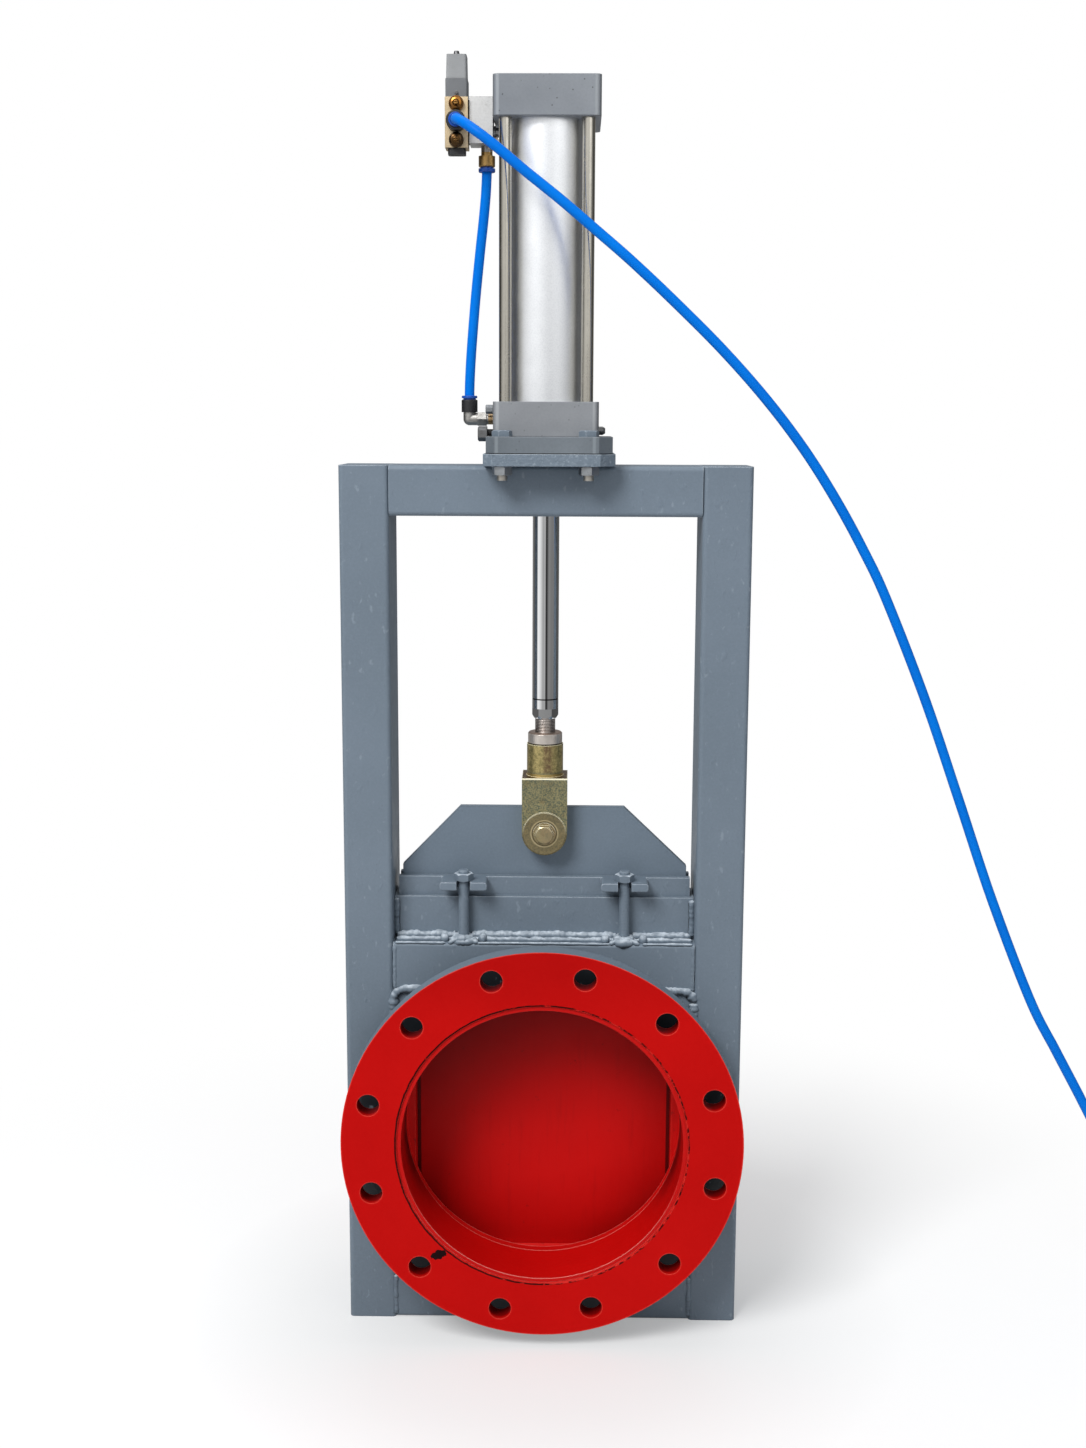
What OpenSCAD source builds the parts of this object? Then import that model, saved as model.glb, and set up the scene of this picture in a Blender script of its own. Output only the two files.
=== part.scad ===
// Pneumatic slide gate valve for bulk material, gate closed.
// X is to the right, the front flange faces -Y, Z is up.
// The origin lies on the floor, below the pipe axis, in the middle of the gate.

/* [Frame] */
// Overall width of the frame, of which the legs take what the pipe leaves
frame_w = 396; // [380:1:430]
// Depth of the frame tubes
frame_d = 80; // [76:1:90]
// Overall height of the frame
frame_h = 870.5; // [862:0.5:892]
// Height of the crossbars and body beams
bar_h = 48; // [44:1:54]
// Wall of the frame tubes
tube_wall = 4; // [3:0.5:5]
// Outer corner radius of the frame tubes
tube_r = 4.5; // [3:0.5:6]

/* [Body] */
// Height of the body, up to the top of its beams
body_h = 400; // [390:1:420]
// Depth of each hollow body beam
beam_d = 26; // [22:1:28]
// Wall of the body beams
beam_wall = 4; // [4:0.5:5]
// Thickness of the cheek plates that carry the pipe stubs
cheek_t = 10; // [8:1:12]
// How far the cheek plates lie behind the face of the frame
cheek_recess = 2; // [1:0.5:4]
// Width of the upright seat bars beside the passage
seat_bar_w = 20; // [14:0.5:22]
// Height of the lower seat bar above the bottom crossbar
seat_sill = 18; // [12:1:20]
// Height of the weld beads round the cheek plates
bead_r = 6; // [3:0.5:7]

/* [Pipe flanges] */
// Height of the pipe axis above the floor
pipe_z = 212; // [205:1:220]
// Outer diameter of the flanges
flange_od = 395; // [390:1:405]
// Distance of the bolt holes' middles from the flange rim
bolt_edge = 22.5; // [20:0.5:25]
// Bolt holes in each flange
flange_holes = 12; // [8:4:12]
// Diameter of the bolt holes
flange_hole_d = 22; // [18:1:26]
// Thickness of the flanges
flange_t = 20; // [14:1:26]
// Distance of the flange faces from the face of the frame
flange_reach = 60; // [50:1:80]
// Outer diameter of the pipe stubs
pipe_od = 285; // [273:1:290]
// Wall of the pipe stubs
pipe_wall = 4; // [3:0.5:6]
// Gap between a pipe stub and the legs
pipe_side = 7.5; // [5:0.5:12]
// Turn of the bolt circle, off the even place of its holes
hole_turn = 1.4; // [-3:0.1:3]
// How far the end of a pipe stub lies behind its flange face
pipe_setback = 2; // [1:0.5:8]

/* [Gate] */
// Width of the guides on both sides of the gate blade
guide_w = 7; // [5:0.5:9]
// Thickness of the gate blade
gate_t = 10; // [8:1:12]
// How far the closed blade's top edge stands above the body
gate_show = 131.7; // [128:0.1:140]
// Height of the cut corners at the top of the blade
gate_chamfer = 60; // [40:1:70]
// Width of the blade's left cut corner
gate_cut_left = 58; // [40:1:70]
// Width of the blade's right cut corner
gate_cut_right = 63; // [40:1:70]
// Height of the bevel at the blade's lower edge
gate_bevel = 6; // [3:0.5:8]
// Travel of the gate and the piston
stroke = 250; // [235:1:250]

/* [Stuffing box] */
// Thickness of the packing box walls
box_wall = 6; // [4:0.5:8]
// Height of the packing box walls
box_h = 43; // [36:1:46]
// Side of the square packing braid
packing_w = 8.7; // [8:0.1:9]
// Layers of packing
packing_layers = 3; // [2:1:3]
// Thickness of the gland followers
gland_t = 8; // [6:0.5:8]
// Height of the gland followers' top above the body
gland_h = 62; // [58:1:66]
// Distance of the gland studs from the middle
stud_x = 80; // [70:1:90]
// Distance of the gland studs in front of the gate
stud_y = 28; // [27:0.5:30]
// Diameter of the gland studs
stud_d = 10.5; // [8:0.5:12]
// Width of the forked lugs on the glands
lug_w = 46.5; // [36:0.5:50]
// Thickness of the forked lugs
lug_t = 8; // [6:0.5:10]

/* [Clevis] */
// Width of the clevis block
clevis_w = 45; // [42:1:48]
// Depth of the clevis block
clevis_d = 44; // [40:1:48]
// Height of the clevis block from the pin up
clevis_rise = 55.5; // [50:0.5:58]
// Distance of the pin below the blade's top edge
pin_drop = 23; // [20:1:26]
// Diameter of the clevis neck
neck_d = 36; // [32:1:38]
// Height of the clevis neck
neck_h = 32; // [28:1:36]
// Diameter of the pin bolt
pin_d = 12; // [10:1:16]
// Diameter of the raised boss round the pin
boss_d = 42.5; // [34:0.5:44]
// Height of the raised boss
boss_h = 2.5; // [1:0.5:3]

/* [Cylinder] */
// Side of the square cylinder caps
cap_side = 100; // [98:1:104]
// Height of the bottom cap
cap_h = 32.5; // [32:0.5:38]
// Height of the top cap
top_cap_h = 36.5; // [34:0.5:42]
// Bore of the cylinder
bore_d = 80; // [78:1:82]
// Wall of the cylinder tube
barrel_wall = 3; // [2:0.5:4]
// Diameter of the piston rod
rod_d = 26; // [24:1:28]
// Height of the piston
piston_h = 20; // [18:1:20]
// Distance between the tie rods
tie_pitch = 77; // [76:0.5:79]
// Diameter of the tie rods
tie_d = 12; // [10:1:12]
// Thickness of the mounting plate welded on the frame
mount_t = 11.5; // [8:0.5:12]
// Width of the mounting plate
mount_w = 124.5; // [122:0.5:130]
// Depth of the mounting plate and the cylinder flange
plate_d = 144; // [144:1:150]
// Thickness of the cylinder flange
cyl_flange_t = 16; // [12:1:18]
// Width of the cylinder flange
cyl_flange_w = 119; // [117:0.5:122]
// How far both plates reach over to the right
plate_shift = 3.6; // [0:0.1:4]
// Distance of the mounting bolts from the middle, sideways
bolt_x = 40.7; // [38:0.1:44]
// Distance of the mounting bolts from the middle, front and back
bolt_y = 61; // [60.5:0.5:62]

/* [Pilot valve] */
// Side of the aluminium manifold block that faces the cap
block_w = 22; // [20:0.5:23]
// Height of the manifold block
block_h = 42; // [40:1:46]
// Depth of the manifold block
block_d = 30; // [28:1:36]
// How far the manifold block reaches below the top end of the cylinder tube
block_drop = 20.5; // [18:0.5:22]
// Width of the valve body
valve_w = 21.5; // [21:0.5:24]
// Height of the valve body
valve_h = 45.5; // [45:0.5:50]
// Depth of the valve body
valve_d = 24; // [22:1:28]
// Distance between the ports on the valve's front
port_pitch = 16.2; // [16:0.1:17]
// Height of the solenoid coil
coil_h = 16.5; // [16:0.5:20]
// Height of the plug connector on the coil
plug_h = 22; // [18:0.5:24]
// Outer diameter of the air hoses
hose_d = 9.5; // [8:0.5:10]

/* [Hidden] */
$fn = 64;

// Clearances
run = 0.05;        // running fit, radial
seat_gap = 0.3;    // between the gate and its seat bars, each side
edge_gap = 0.5;    // between the gate and its guides
hole_gap = 0.5;    // round bolts in clearance holes, radial
tiny = 0.01;       // overrun of a cut

// Frame levels
half_gap = pipe_od / 2 + pipe_side;
leg_w = frame_w / 2 - half_gap;
flange_pcd = flange_od - 2 * bolt_edge;
face_y = frame_d / 2;
beam_z = body_h - bar_h;
top_bar_z = frame_h - bar_h;
cap_t = tube_wall;

// Gate
gate_y = gate_t / 2;
gate_w = 2 * (half_gap - guide_w - edge_gap);
gate_bottom = bar_h + 12;
gate_top = body_h + gate_show;
seat_half = half_gap - seat_bar_w;
cheek_y = face_y - cheek_recess;
seat_y = gate_y + seat_gap;

// Stuffing box
wall_in = gate_y + packing_w + run;
gland_in = gate_y + 1;
box_end_t = 2.5;
box_end_x = half_gap - 0.5;
packing_x = box_end_x - box_end_t - run;
packing_z = body_h;
gland_z = packing_z + packing_layers * packing_w;
gland_top = body_h + gland_h;
gland_x = packing_x - 1;
nut_af = 17;
nut_h = 7;
stud_top = gland_top + nut_h + 3.5;

// Clevis and rod
pin_z = gate_top - pin_drop;
block_top = pin_z + clevis_rise;
neck_top = block_top + neck_h;
fork_gap = gate_t + 1;
locknut_d = 34;
locknut_h = 11.5;
thread_d = 20;
rod_end_z = neck_top + locknut_h + 14;
head_af = 17;
head_h = 7.5;

// Cylinder levels
mount_z = frame_h;
cyl_flange_z = mount_z + mount_t;
cap_z = cyl_flange_z + cyl_flange_t;
barrel_z = cap_z + cap_h;
tube_in = 4;           // how far the tube sits in each cap
piston_in = 7;         // depth of the piston recess in each cap
piston_rest = 0.5;     // gap under the piston when the gate is closed
tube_len = stroke + piston_h + 4 * piston_rest - 2 * piston_in;
top_cap_z = barrel_z + tube_len;
barrel_r = bore_d / 2 + barrel_wall;
bush_d = 36;
piston_z = barrel_z - piston_in + piston_rest;
tie_xy = tie_pitch / 2;
tie_nut_af = 17;
tie_nut_h = 8;
port_z = cap_z + cap_h / 2;
passage_r = 24;        // opening under the top crossbar for the locknut and the neck
m10 = 10;
bolt_head_h = 6;
mount_nut_h = 8.3;

// Pilot valve places
block_x = -cap_side / 2 - 1;
block_z = top_cap_z - block_drop;
gasket_t = 1;
block_front = -20;
valve_x = block_x - block_w - gasket_t;
valve_z = block_z - 4.5;
valve_front = -24;
valve_mid_x = valve_x - valve_w / 2;
port_mid_z = valve_z + 23;
port_d = 9;
coil_z = valve_z + valve_h;
plug_z = coil_z + coil_h;
plug_y = valve_front + 14;
screw_y = valve_front + 8;
button_up = 3.8;       // height of the override button above the coil's foot

// Push-in fittings, with a release ring that slides into a cup
fit_x = block_x - 6.5;
elbow_x = -74.5;
nipple_h = 9;
nut_z = port_z + 6.5;
cushion_z = cap_z + cap_h - 7;
supply_h = 13;
upper_h = 10;
upper_af = 15.6;       // width of the upper fitting
lower_h = 12;
ring_travel = 1.2;
ring_in = hose_d / 2 + 0.15;
ring_out = hose_d / 2 + 1.35;
cup_depth = 4.5;
hose_seat = 2;

// Supply hose route, from its fitting to the coil on the floor
coil_x = 690;
coil_r = 58;           // mid radius of the coil
coil_layers = 2;
hose_out = 91;         // how far the hose hangs in front of the middle
hose_run = coil_x - valve_mid_x;
hose_fall = port_mid_z - hose_d / 2;
function hose_at(across, out, down) =
    [valve_mid_x + across * hose_run, -out * hose_out, port_mid_z - down * hose_fall];
hose_path = [
    [valve_mid_x, valve_front - hose_seat, port_mid_z], [valve_mid_x, valve_front - 14, port_mid_z],
    hose_at(0.0015, 0.5538, 0.0011), hose_at(0.0056, 0.6593, 0.0031), hose_at(0.0121, 0.7505, 0.0063),
    hose_at(0.0206, 0.8198, 0.0106), hose_at(0.0307, 0.8637, 0.0155), hose_at(0.0412, 0.8791, 0.0207),
    hose_at(0.0578, 0.8956, 0.0292), hose_at(0.0862, 0.9121, 0.0444), hose_at(0.1275, 0.9286, 0.0656),
    hose_at(0.1688, 0.9341, 0.088), hose_at(0.2088, 0.9396, 0.11), hose_at(0.2591, 0.9341, 0.1398),
    hose_at(0.3185, 0.9176, 0.177), hose_at(0.3727, 0.8901, 0.2154), hose_at(0.4192, 0.8571, 0.2534),
    hose_at(0.4592, 0.8242, 0.2924), hose_at(0.494, 0.7912, 0.3313), hose_at(0.525, 0.7692, 0.3711),
    hose_at(0.5779, 0.7253, 0.4523), hose_at(0.6257, 0.6813, 0.5352), hose_at(0.6734, 0.6593, 0.6198),
    hose_at(0.7277, 0.6593, 0.7053), hose_at(0.7638, 0.6593, 0.7493), hose_at(0.7986, 0.6593, 0.7908),
    hose_at(0.8296, 0.6593, 0.8297), hose_at(0.8567, 0.6593, 0.8703), hose_at(0.8774, 0.6593, 0.9084),
    hose_at(0.8942, 0.6593, 0.9414), hose_at(0.9109, 0.6703, 0.9702), hose_at(0.9329, 0.6813, 0.9905),
    hose_at(0.9613, 0.6923, 0.9985), hose_at(1, 0.6923, 0.9998)
];

// Hose between the fittings of the two cylinder ports
hose_lead = 14;        // straight part at both ends
down_top = block_z - nipple_h - hose_lead;
down_end = nut_z + hose_lead;
function down_at(share, over) =
    [fit_x + over * (elbow_x - fit_x), 0, down_top + share * (down_end - down_top)];
down_path = [
    [fit_x, 0, block_z - nipple_h - hose_seat], down_at(0, 0), down_at(0.1, 0.06),
    down_at(0.22, 0.2), down_at(0.35, 0.38), down_at(0.56, 0.65), down_at(0.79, 0.88),
    down_at(0.93, 0.98), down_at(1, 1), [elbow_x, 0, nut_z + hose_seat]
];

steel_blue = [0.45, 0.5, 0.55];
cap_grey = [0.52, 0.54, 0.56];
flange_red = [0.78, 0.06, 0.06];
bright_steel = [0.75, 0.76, 0.78];
alloy = [0.76, 0.77, 0.77];
brass = [0.72, 0.56, 0.28];
zinc_yellow = [0.65, 0.61, 0.38];
hose_blue = [0.0, 0.42, 0.88];
black_plastic = [0.1, 0.1, 0.11];

// A rectangle with round corners, centred
module round_rect(w, d, r) {
    square([w - 2 * r, d], center = true);
    square([w, d - 2 * r], center = true);
    for (sx = [-1, 1], sy = [-1, 1])
        translate([sx * (w / 2 - r), sy * (d / 2 - r)]) circle(r);
}

// A hollow rectangular tube section, centred
module tube_section(w, d, r, wall) {
    difference() {
        round_rect(w, d, r);
        round_rect(w - 2 * wall, d - 2 * wall, max(r - wall, 0.5));
    }
}

// A rectangle with cut corners, small ones on the left and larger ones on the right
module cut_plate(w, d, cl, cr) {
    left = -w / 2 + plate_shift;
    right = w / 2 + plate_shift;
    polygon([
        [left + cl, -d / 2], [right - cr, -d / 2], [right, -d / 2 + cr], [right, d / 2 - cr],
        [right - cr, d / 2], [left + cl, d / 2], [left, d / 2 - cl], [left, -d / 2 + cl]
    ]);
}

// A hexagonal prism by its width across flats, standing on z = 0
module hex_prism(af, h) {
    cylinder(d = af / cos(30), h = h, $fn = 6);
}

// A hexagonal prism with turned corners at its top
module hex_head(af, h) {
    intersection() {
        hex_prism(af, h);
        rotate_extrude()
            polygon([[0, 0], [af * 0.6, 0], [af * 0.6, h - af * 0.09], [af * 0.475, h], [0, h]]);
    }
}

// A hexagon nut on z = 0
module hex_nut(af, h, hole_d) {
    difference() {
        intersection() {
            hex_prism(af, h);
            rotate_extrude()
                polygon([
                    [0, 0], [af * 0.5, 0], [af * 0.6, af * 0.06], [af * 0.6, h - af * 0.06],
                    [af * 0.5, h], [0, h]
                ]);
        }
        translate([0, 0, -1]) cylinder(d = hole_d, h = h + 2);
    }
}

// Two mirrored copies, front and back
module both_faces() {
    children();
    mirror([0, 1, 0]) children();
}

// Four copies at the corners of a rectangle
module at_corners(x, y) {
    for (sx = [-1, 1], sy = [-1, 1])
        translate([sx * x, sy * y, 0]) children();
}

// Points on a smooth line through the given points
function spline(p, n) = [
    for (i = [0 : len(p) - 2], k = [0 : n - 1])
        let (a = p[max(i - 1, 0)], b = p[i], c = p[i + 1], d = p[min(i + 2, len(p) - 1)], t = k / n)
        0.5 * (2 * b + (c - a) * t + (2 * a - 5 * b + 4 * c - d) * t * t
            + (3 * b - a - 3 * c + d) * t * t * t),
    p[len(p) - 1]
];
function unit(v) = v / norm(v);
function along(p, i) = unit(p[min(i + 1, len(p) - 1)] - p[max(i - 1, 0)]);

// A round bar swept along points
module sweep(p, r, sides) {
    rings = [
        for (i = [0 : len(p) - 1])
            let (t = along(p, i), u = unit(cross(t, [0, 1, 0.02])), v = cross(t, u))
            for (k = [0 : sides - 1])
                p[i] + r * (cos(360 * k / sides) * u + sin(360 * k / sides) * v)
    ];
    last = (len(p) - 1) * sides;
    polyhedron(
        points = rings,
        faces = concat(
            [[for (k = [0 : sides - 1]) k]],
            [[for (k = [sides - 1 : -1 : 0]) last + k]],
            [
                for (i = [0 : len(p) - 2], k = [0 : sides - 1])
                    let (a = i * sides + k, b = i * sides + (k + 1) % sides)
                    [a, a + sides, b + sides, b]
            ]
        )
    );
}

module leg(side) {
    translate([side * (frame_w - leg_w) / 2, 0, 0]) {
        translate([0, 0, cap_t])
            linear_extrude(frame_h - 2 * cap_t) tube_section(leg_w, frame_d, tube_r, tube_wall);
        for (z = [0, frame_h - cap_t])
            translate([0, 0, z]) linear_extrude(cap_t) round_rect(leg_w, frame_d, tube_r);
    }
}

module left_leg() {
    color(steel_blue) leg(-1);
}

module right_leg() {
    color(steel_blue) leg(1);
}

// A hollow bar between the legs, its length along X
module cross_tube(h, d, r, wall) {
    translate([-half_gap, 0, 0]) rotate([90, 0, 90])
        linear_extrude(2 * half_gap) tube_section(d, h, r, wall);
}

module top_crossbar() {
    color(steel_blue) difference() {
        translate([0, 0, frame_h - bar_h / 2]) cross_tube(bar_h, frame_d, tube_r, tube_wall);
        translate([0, 0, top_bar_z - 1]) cylinder(r = passage_r, h = bar_h / 2);
        translate([0, 0, frame_h - bar_h / 2]) cylinder(d = bush_d + 2, h = bar_h);
    }
}

module bottom_crossbar() {
    color(steel_blue)
        translate([0, 0, bar_h / 2]) cross_tube(bar_h, frame_d, tube_r, tube_wall);
}

module body_beam() {
    color(steel_blue) difference() {
        translate([0, -face_y + beam_d / 2, body_h - bar_h / 2])
            cross_tube(bar_h, beam_d, tube_r - 1, beam_wall);
        translate([0, -face_y - 1, pipe_z]) rotate([-90, 0, 0])
            cylinder(d = pipe_od + 2 * run, h = cheek_recess + 1, $fn = 128);
    }
}

module front_body_beam() {
    body_beam();
}

module rear_body_beam() {
    mirror([0, 1, 0]) body_beam();
}

module cheek_plate() {
    color(steel_blue) difference() {
        translate([-half_gap, -cheek_y, bar_h]) cube([2 * half_gap, cheek_t, beam_z - bar_h]);
        translate([0, -cheek_y - 1, pipe_z]) rotate([-90, 0, 0])
            cylinder(d = pipe_od - 2 * pipe_wall, h = cheek_t + 2, $fn = 128);
    }
}

module front_cheek_plate() {
    cheek_plate();
}

module rear_cheek_plate() {
    mirror([0, 1, 0]) cheek_plate();
}

module seat_bars() {
    bar_t = cheek_y - cheek_t - seat_y;
    color(flange_red) both_faces() {
        for (side = [-1, 1])
            translate([side * (seat_half + half_gap) / 2, -seat_y - bar_t / 2, (beam_z + bar_h) / 2])
                cube([half_gap - seat_half, bar_t, beam_z - bar_h], center = true);
        translate([-seat_half, -seat_y - bar_t, bar_h]) cube([2 * seat_half, bar_t, seat_sill]);
    }
}

module gate_guides() {
    color(black_plastic) {
        for (side = [-1, 1])
            translate([side * (half_gap - guide_w / 2), 0, (bar_h + body_h) / 2])
                cube([guide_w, 2 * seat_y, body_h - bar_h], center = true);
        translate([-half_gap + guide_w, -seat_y, bar_h])
            cube([2 * (half_gap - guide_w), 2 * seat_y, gate_bottom - bar_h - edge_gap]);
    }
}

module pipe_stub() {
    stub_end = cheek_y;
    stub_start = face_y + flange_reach - pipe_setback;
    color(flange_red) translate([0, -stub_start, pipe_z]) rotate([-90, 0, 0])
        difference() {
            cylinder(d = pipe_od, h = stub_start - stub_end, $fn = 128);
            translate([0, 0, -1])
                cylinder(d = pipe_od - 2 * pipe_wall, h = stub_start - stub_end + 2, $fn = 128);
        }
}

module front_pipe_stub() {
    pipe_stub();
}

module rear_pipe_stub() {
    mirror([0, 1, 0]) pipe_stub();
}

module pipe_flange() {
    weld_seat = 1.2;
    color(flange_red) translate([0, -face_y - flange_reach, pipe_z]) rotate([-90, 0, 0])
        difference() {
            cylinder(d = flange_od, h = flange_t, $fn = 128);
            translate([0, 0, -1]) cylinder(d = pipe_od + 2 * run, h = flange_t + 2, $fn = 128);
            translate([0, 0, -tiny])
                cylinder(d1 = pipe_od + 2 * weld_seat, d2 = pipe_od, h = weld_seat);
            for (i = [0 : flange_holes - 1])
                rotate([0, 0, (i + 0.5) * 360 / flange_holes - hole_turn])
                    translate([flange_pcd / 2, 0, -1])
                    cylinder(d = flange_hole_d, h = flange_t + 2);
        }
}

module front_flange() {
    pipe_flange();
}

module rear_flange() {
    mirror([0, 1, 0]) pipe_flange();
}

module packing_box() {
    floor_t = 8;
    color(steel_blue) {
        both_faces() translate([-box_end_x, -wall_in - box_wall, body_h])
            cube([2 * box_end_x, box_wall, box_h]);
        for (side = [-1, 1])
            translate([side * (box_end_x - box_end_t / 2), 0, body_h + box_h / 2])
                cube([box_end_t, 2 * wall_in, box_h], center = true);
        // Floor strips under the packing
        both_faces() translate([-half_gap, -face_y + beam_d, body_h - floor_t])
            cube([2 * half_gap, face_y - beam_d - seat_y, floor_t]);
    }
}

module packing_rings() {
    color([0.75, 0.72, 0.62]) for (i = [0 : packing_layers - 1])
        translate([0, 0, packing_z + i * packing_w]) linear_extrude(packing_w - 0.2) difference() {
            square([2 * packing_x, 2 * (wall_in - run)], center = true);
            square([gate_w + 2 * run, gate_t + 2 * run], center = true);
        }
}

// The gland follower in front of the gate, with its two forked lugs
module gland() {
    slot_w = stud_d + 3;
    lug_reach = stud_y + stud_d / 2 + 6.5;
    gland_out = gland_in + gland_t - 0.4;
    color(steel_blue) {
        translate([-gland_x, -gland_out, gland_z])
            cube([2 * gland_x, gland_out - gland_in, gland_top - gland_z]);
        for (side = [-1, 1]) translate([side * stud_x, 0, gland_top - lug_t]) difference() {
            intersection() {
                translate([-lug_w / 2, -lug_reach, 0]) cube([lug_w, lug_reach - gland_out, lug_t]);
                translate([0, -gland_out, lug_t / 2]) rotate([90, 0, 0])
                    linear_extrude(lug_reach) round_rect(lug_w, lug_t, 2.5);
            }
            translate([0, -stud_y, -1]) cylinder(d = slot_w, h = lug_t + 2);
            translate([-slot_w / 2, -lug_reach - 1, -1])
                cube([slot_w, lug_reach + 1 - stud_y, lug_t + 2]);
        }
    }
}

module front_gland() {
    gland();
}

module rear_gland() {
    mirror([0, 1, 0]) gland();
}

module gland_studs() {
    color(steel_blue) at_corners(stud_x, stud_y) translate([0, 0, body_h]) {
        cylinder(d = stud_d, h = stud_top - 1 - body_h);
        translate([0, 0, stud_top - 1 - body_h])
            cylinder(d1 = stud_d, d2 = stud_d - 2, h = 1, $fn = 64);
    }
}

module gland_nuts() {
    color(steel_blue) at_corners(stud_x, stud_y)
        translate([0, 0, gland_top]) hex_nut(nut_af, nut_h, stud_d + 2 * run);
}

// A quarter round weld bead in a corner, its length along X
module foot_bead(length, r) {
    translate([-length / 2, 0, 0]) rotate([90, 0, 90]) linear_extrude(length)
        intersection() {
            circle(r);
            translate([-r, 0]) square(r);
        }
}

module frame_welds() {
    window_h = beam_z - bar_h;
    foot_y = wall_in + box_wall;
    color(steel_blue) both_faces() {
        // Round the cheek plate, in the corner of the window
        difference() {
            union() {
                translate([0, -cheek_y, bar_h]) foot_bead(2 * half_gap, bead_r);
                translate([0, -cheek_y, beam_z]) mirror([0, 0, 1])
                    foot_bead(2 * half_gap, bead_r);
                for (side = [-1, 1])
                    translate([side * half_gap, -cheek_y, (bar_h + beam_z) / 2])
                        rotate([0, side * -90, 0]) foot_bead(window_h, bead_r);
            }
            translate([0, -cheek_y - bead_r - 1, pipe_z]) rotate([-90, 0, 0])
                cylinder(d = pipe_od + 2 * run, h = bead_r + 1 + tiny, $fn = 128);
        }
        // Along the foot of the packing box wall, with rings round the stud feet
        difference() {
            union() {
                translate([0, -foot_y, body_h]) foot_bead(2 * box_end_x, 5);
                for (side = [-1, 1]) translate([side * stud_x, -stud_y, body_h])
                    cylinder(r1 = stud_y - foot_y, r2 = stud_d / 2 + 1, h = 4);
            }
            for (side = [-1, 1]) translate([side * stud_x, -stud_y, body_h - 1])
                cylinder(d = stud_d + 2 * run, h = 12);
        }
    }
}

module mount_plate() {
    color(steel_blue) translate([0, 0, mount_z]) difference() {
        linear_extrude(mount_t) cut_plate(mount_w, plate_d, 8.5, 14.5);
        translate([0, 0, -1]) cylinder(d = bush_d + 2, h = mount_t + 2);
        translate([0, 0, -1]) at_corners(bolt_x, bolt_y)
            cylinder(d = m10 + 2 * hole_gap, h = mount_t + 2);
    }
}

module cylinder_flange() {
    color(steel_blue) translate([0, 0, cyl_flange_z]) difference() {
        linear_extrude(cyl_flange_t) cut_plate(cyl_flange_w, plate_d, 8, 13);
        translate([0, 0, -1]) cylinder(d = bush_d + 2 * run, h = cyl_flange_t + 2);
        translate([0, 0, -1]) at_corners(bolt_x, bolt_y)
            cylinder(d = m10 + 2 * hole_gap, h = cyl_flange_t + 2);
    }
}

module mount_bolts() {
    bolt_end = mount_z - mount_nut_h - 5;
    color(bright_steel) at_corners(bolt_x, bolt_y) {
        translate([0, 0, bolt_end]) cylinder(d = m10, h = cap_z - bolt_end);
        translate([0, 0, cap_z]) rotate([0, 0, 13]) hex_head(nut_af, bolt_head_h);
    }
}

module mount_nuts() {
    color(bright_steel) at_corners(bolt_x, bolt_y)
        translate([0, 0, mount_z - mount_nut_h]) rotate([0, 0, -14])
            hex_nut(nut_af, mount_nut_h, m10 + 2 * run);
}

// A cylinder cap with its tube seat on top and holes for the tie rods
module cap_block(h, tie_depth) {
    difference() {
        linear_extrude(h) round_rect(cap_side, cap_side, 6);
        translate([0, 0, h - tube_in]) cylinder(r = barrel_r + run, h = tube_in + 1);
        translate([0, 0, h - piston_in]) cylinder(d = bore_d, h = piston_in);
        translate([0, 0, h - tie_depth]) at_corners(tie_xy, tie_xy)
            cylinder(d = tie_d + 2 * run, h = tie_depth + 1);
    }
}

module bottom_cap() {
    color(cap_grey) translate([0, 0, cap_z]) difference() {
        cap_block(cap_h, cap_h - 8);
        translate([0, 0, -1]) cylinder(d = bush_d + 2 * run, h = cap_h);
        translate([-cap_side / 2 - 1, 0, cap_h / 2]) rotate([0, 90, 0])
            cylinder(d = 13, h = 9);
        translate([-cap_side / 2 - 1, -10, cushion_z - cap_z]) rotate([0, 90, 0])
            cylinder(d = 5 + 2 * run, h = 6);
    }
}

module top_cap() {
    color(cap_grey) translate([0, 0, top_cap_z + top_cap_h]) rotate([180, 0, 0]) difference() {
        cap_block(top_cap_h, top_cap_h + 1);
        at_corners(tie_xy, tie_xy) translate([0, 0, -1])
            cylinder(d = tie_nut_af / cos(30) + 1, h = 1 + tie_nut_h + 3);
    }
}

module barrel() {
    color(bright_steel) translate([0, 0, barrel_z - tube_in]) difference() {
        cylinder(r = barrel_r, h = tube_len + 2 * tube_in, $fn = 128);
        translate([0, 0, -1]) cylinder(d = bore_d, h = tube_len + 2 * tube_in + 2, $fn = 128);
    }
}

module tie_rods() {
    rod_z = cap_z + 8;
    color(bright_steel) at_corners(tie_xy, tie_xy)
        translate([0, 0, rod_z]) cylinder(d = tie_d, h = top_cap_z + top_cap_h - 2 - rod_z);
}

module tie_rod_nuts() {
    color(bright_steel) at_corners(tie_xy, tie_xy)
        translate([0, 0, top_cap_z + top_cap_h - tie_nut_h - 3])
            hex_nut(tie_nut_af, tie_nut_h, tie_d + 2 * run);
}

// Bronze rod bush through the cylinder flange and the bottom cap, and its wiper ring
module rod_bush() {
    bush_z = cyl_flange_z + 2;
    wiper_h = 6;
    color(brass) translate([0, 0, bush_z]) difference() {
        cylinder(d = bush_d, h = barrel_z - piston_in - bush_z);
        translate([0, 0, -1]) cylinder(d = rod_d + 2 * run, h = cap_h + cyl_flange_t + 2);
    }
    color(black_plastic) translate([0, 0, bush_z - wiper_h]) difference() {
        cylinder(d = bush_d - 2, h = wiper_h);
        translate([0, 0, -1]) cylinder(d = rod_d + 2 * run, h = wiper_h + 2);
    }
}

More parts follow.
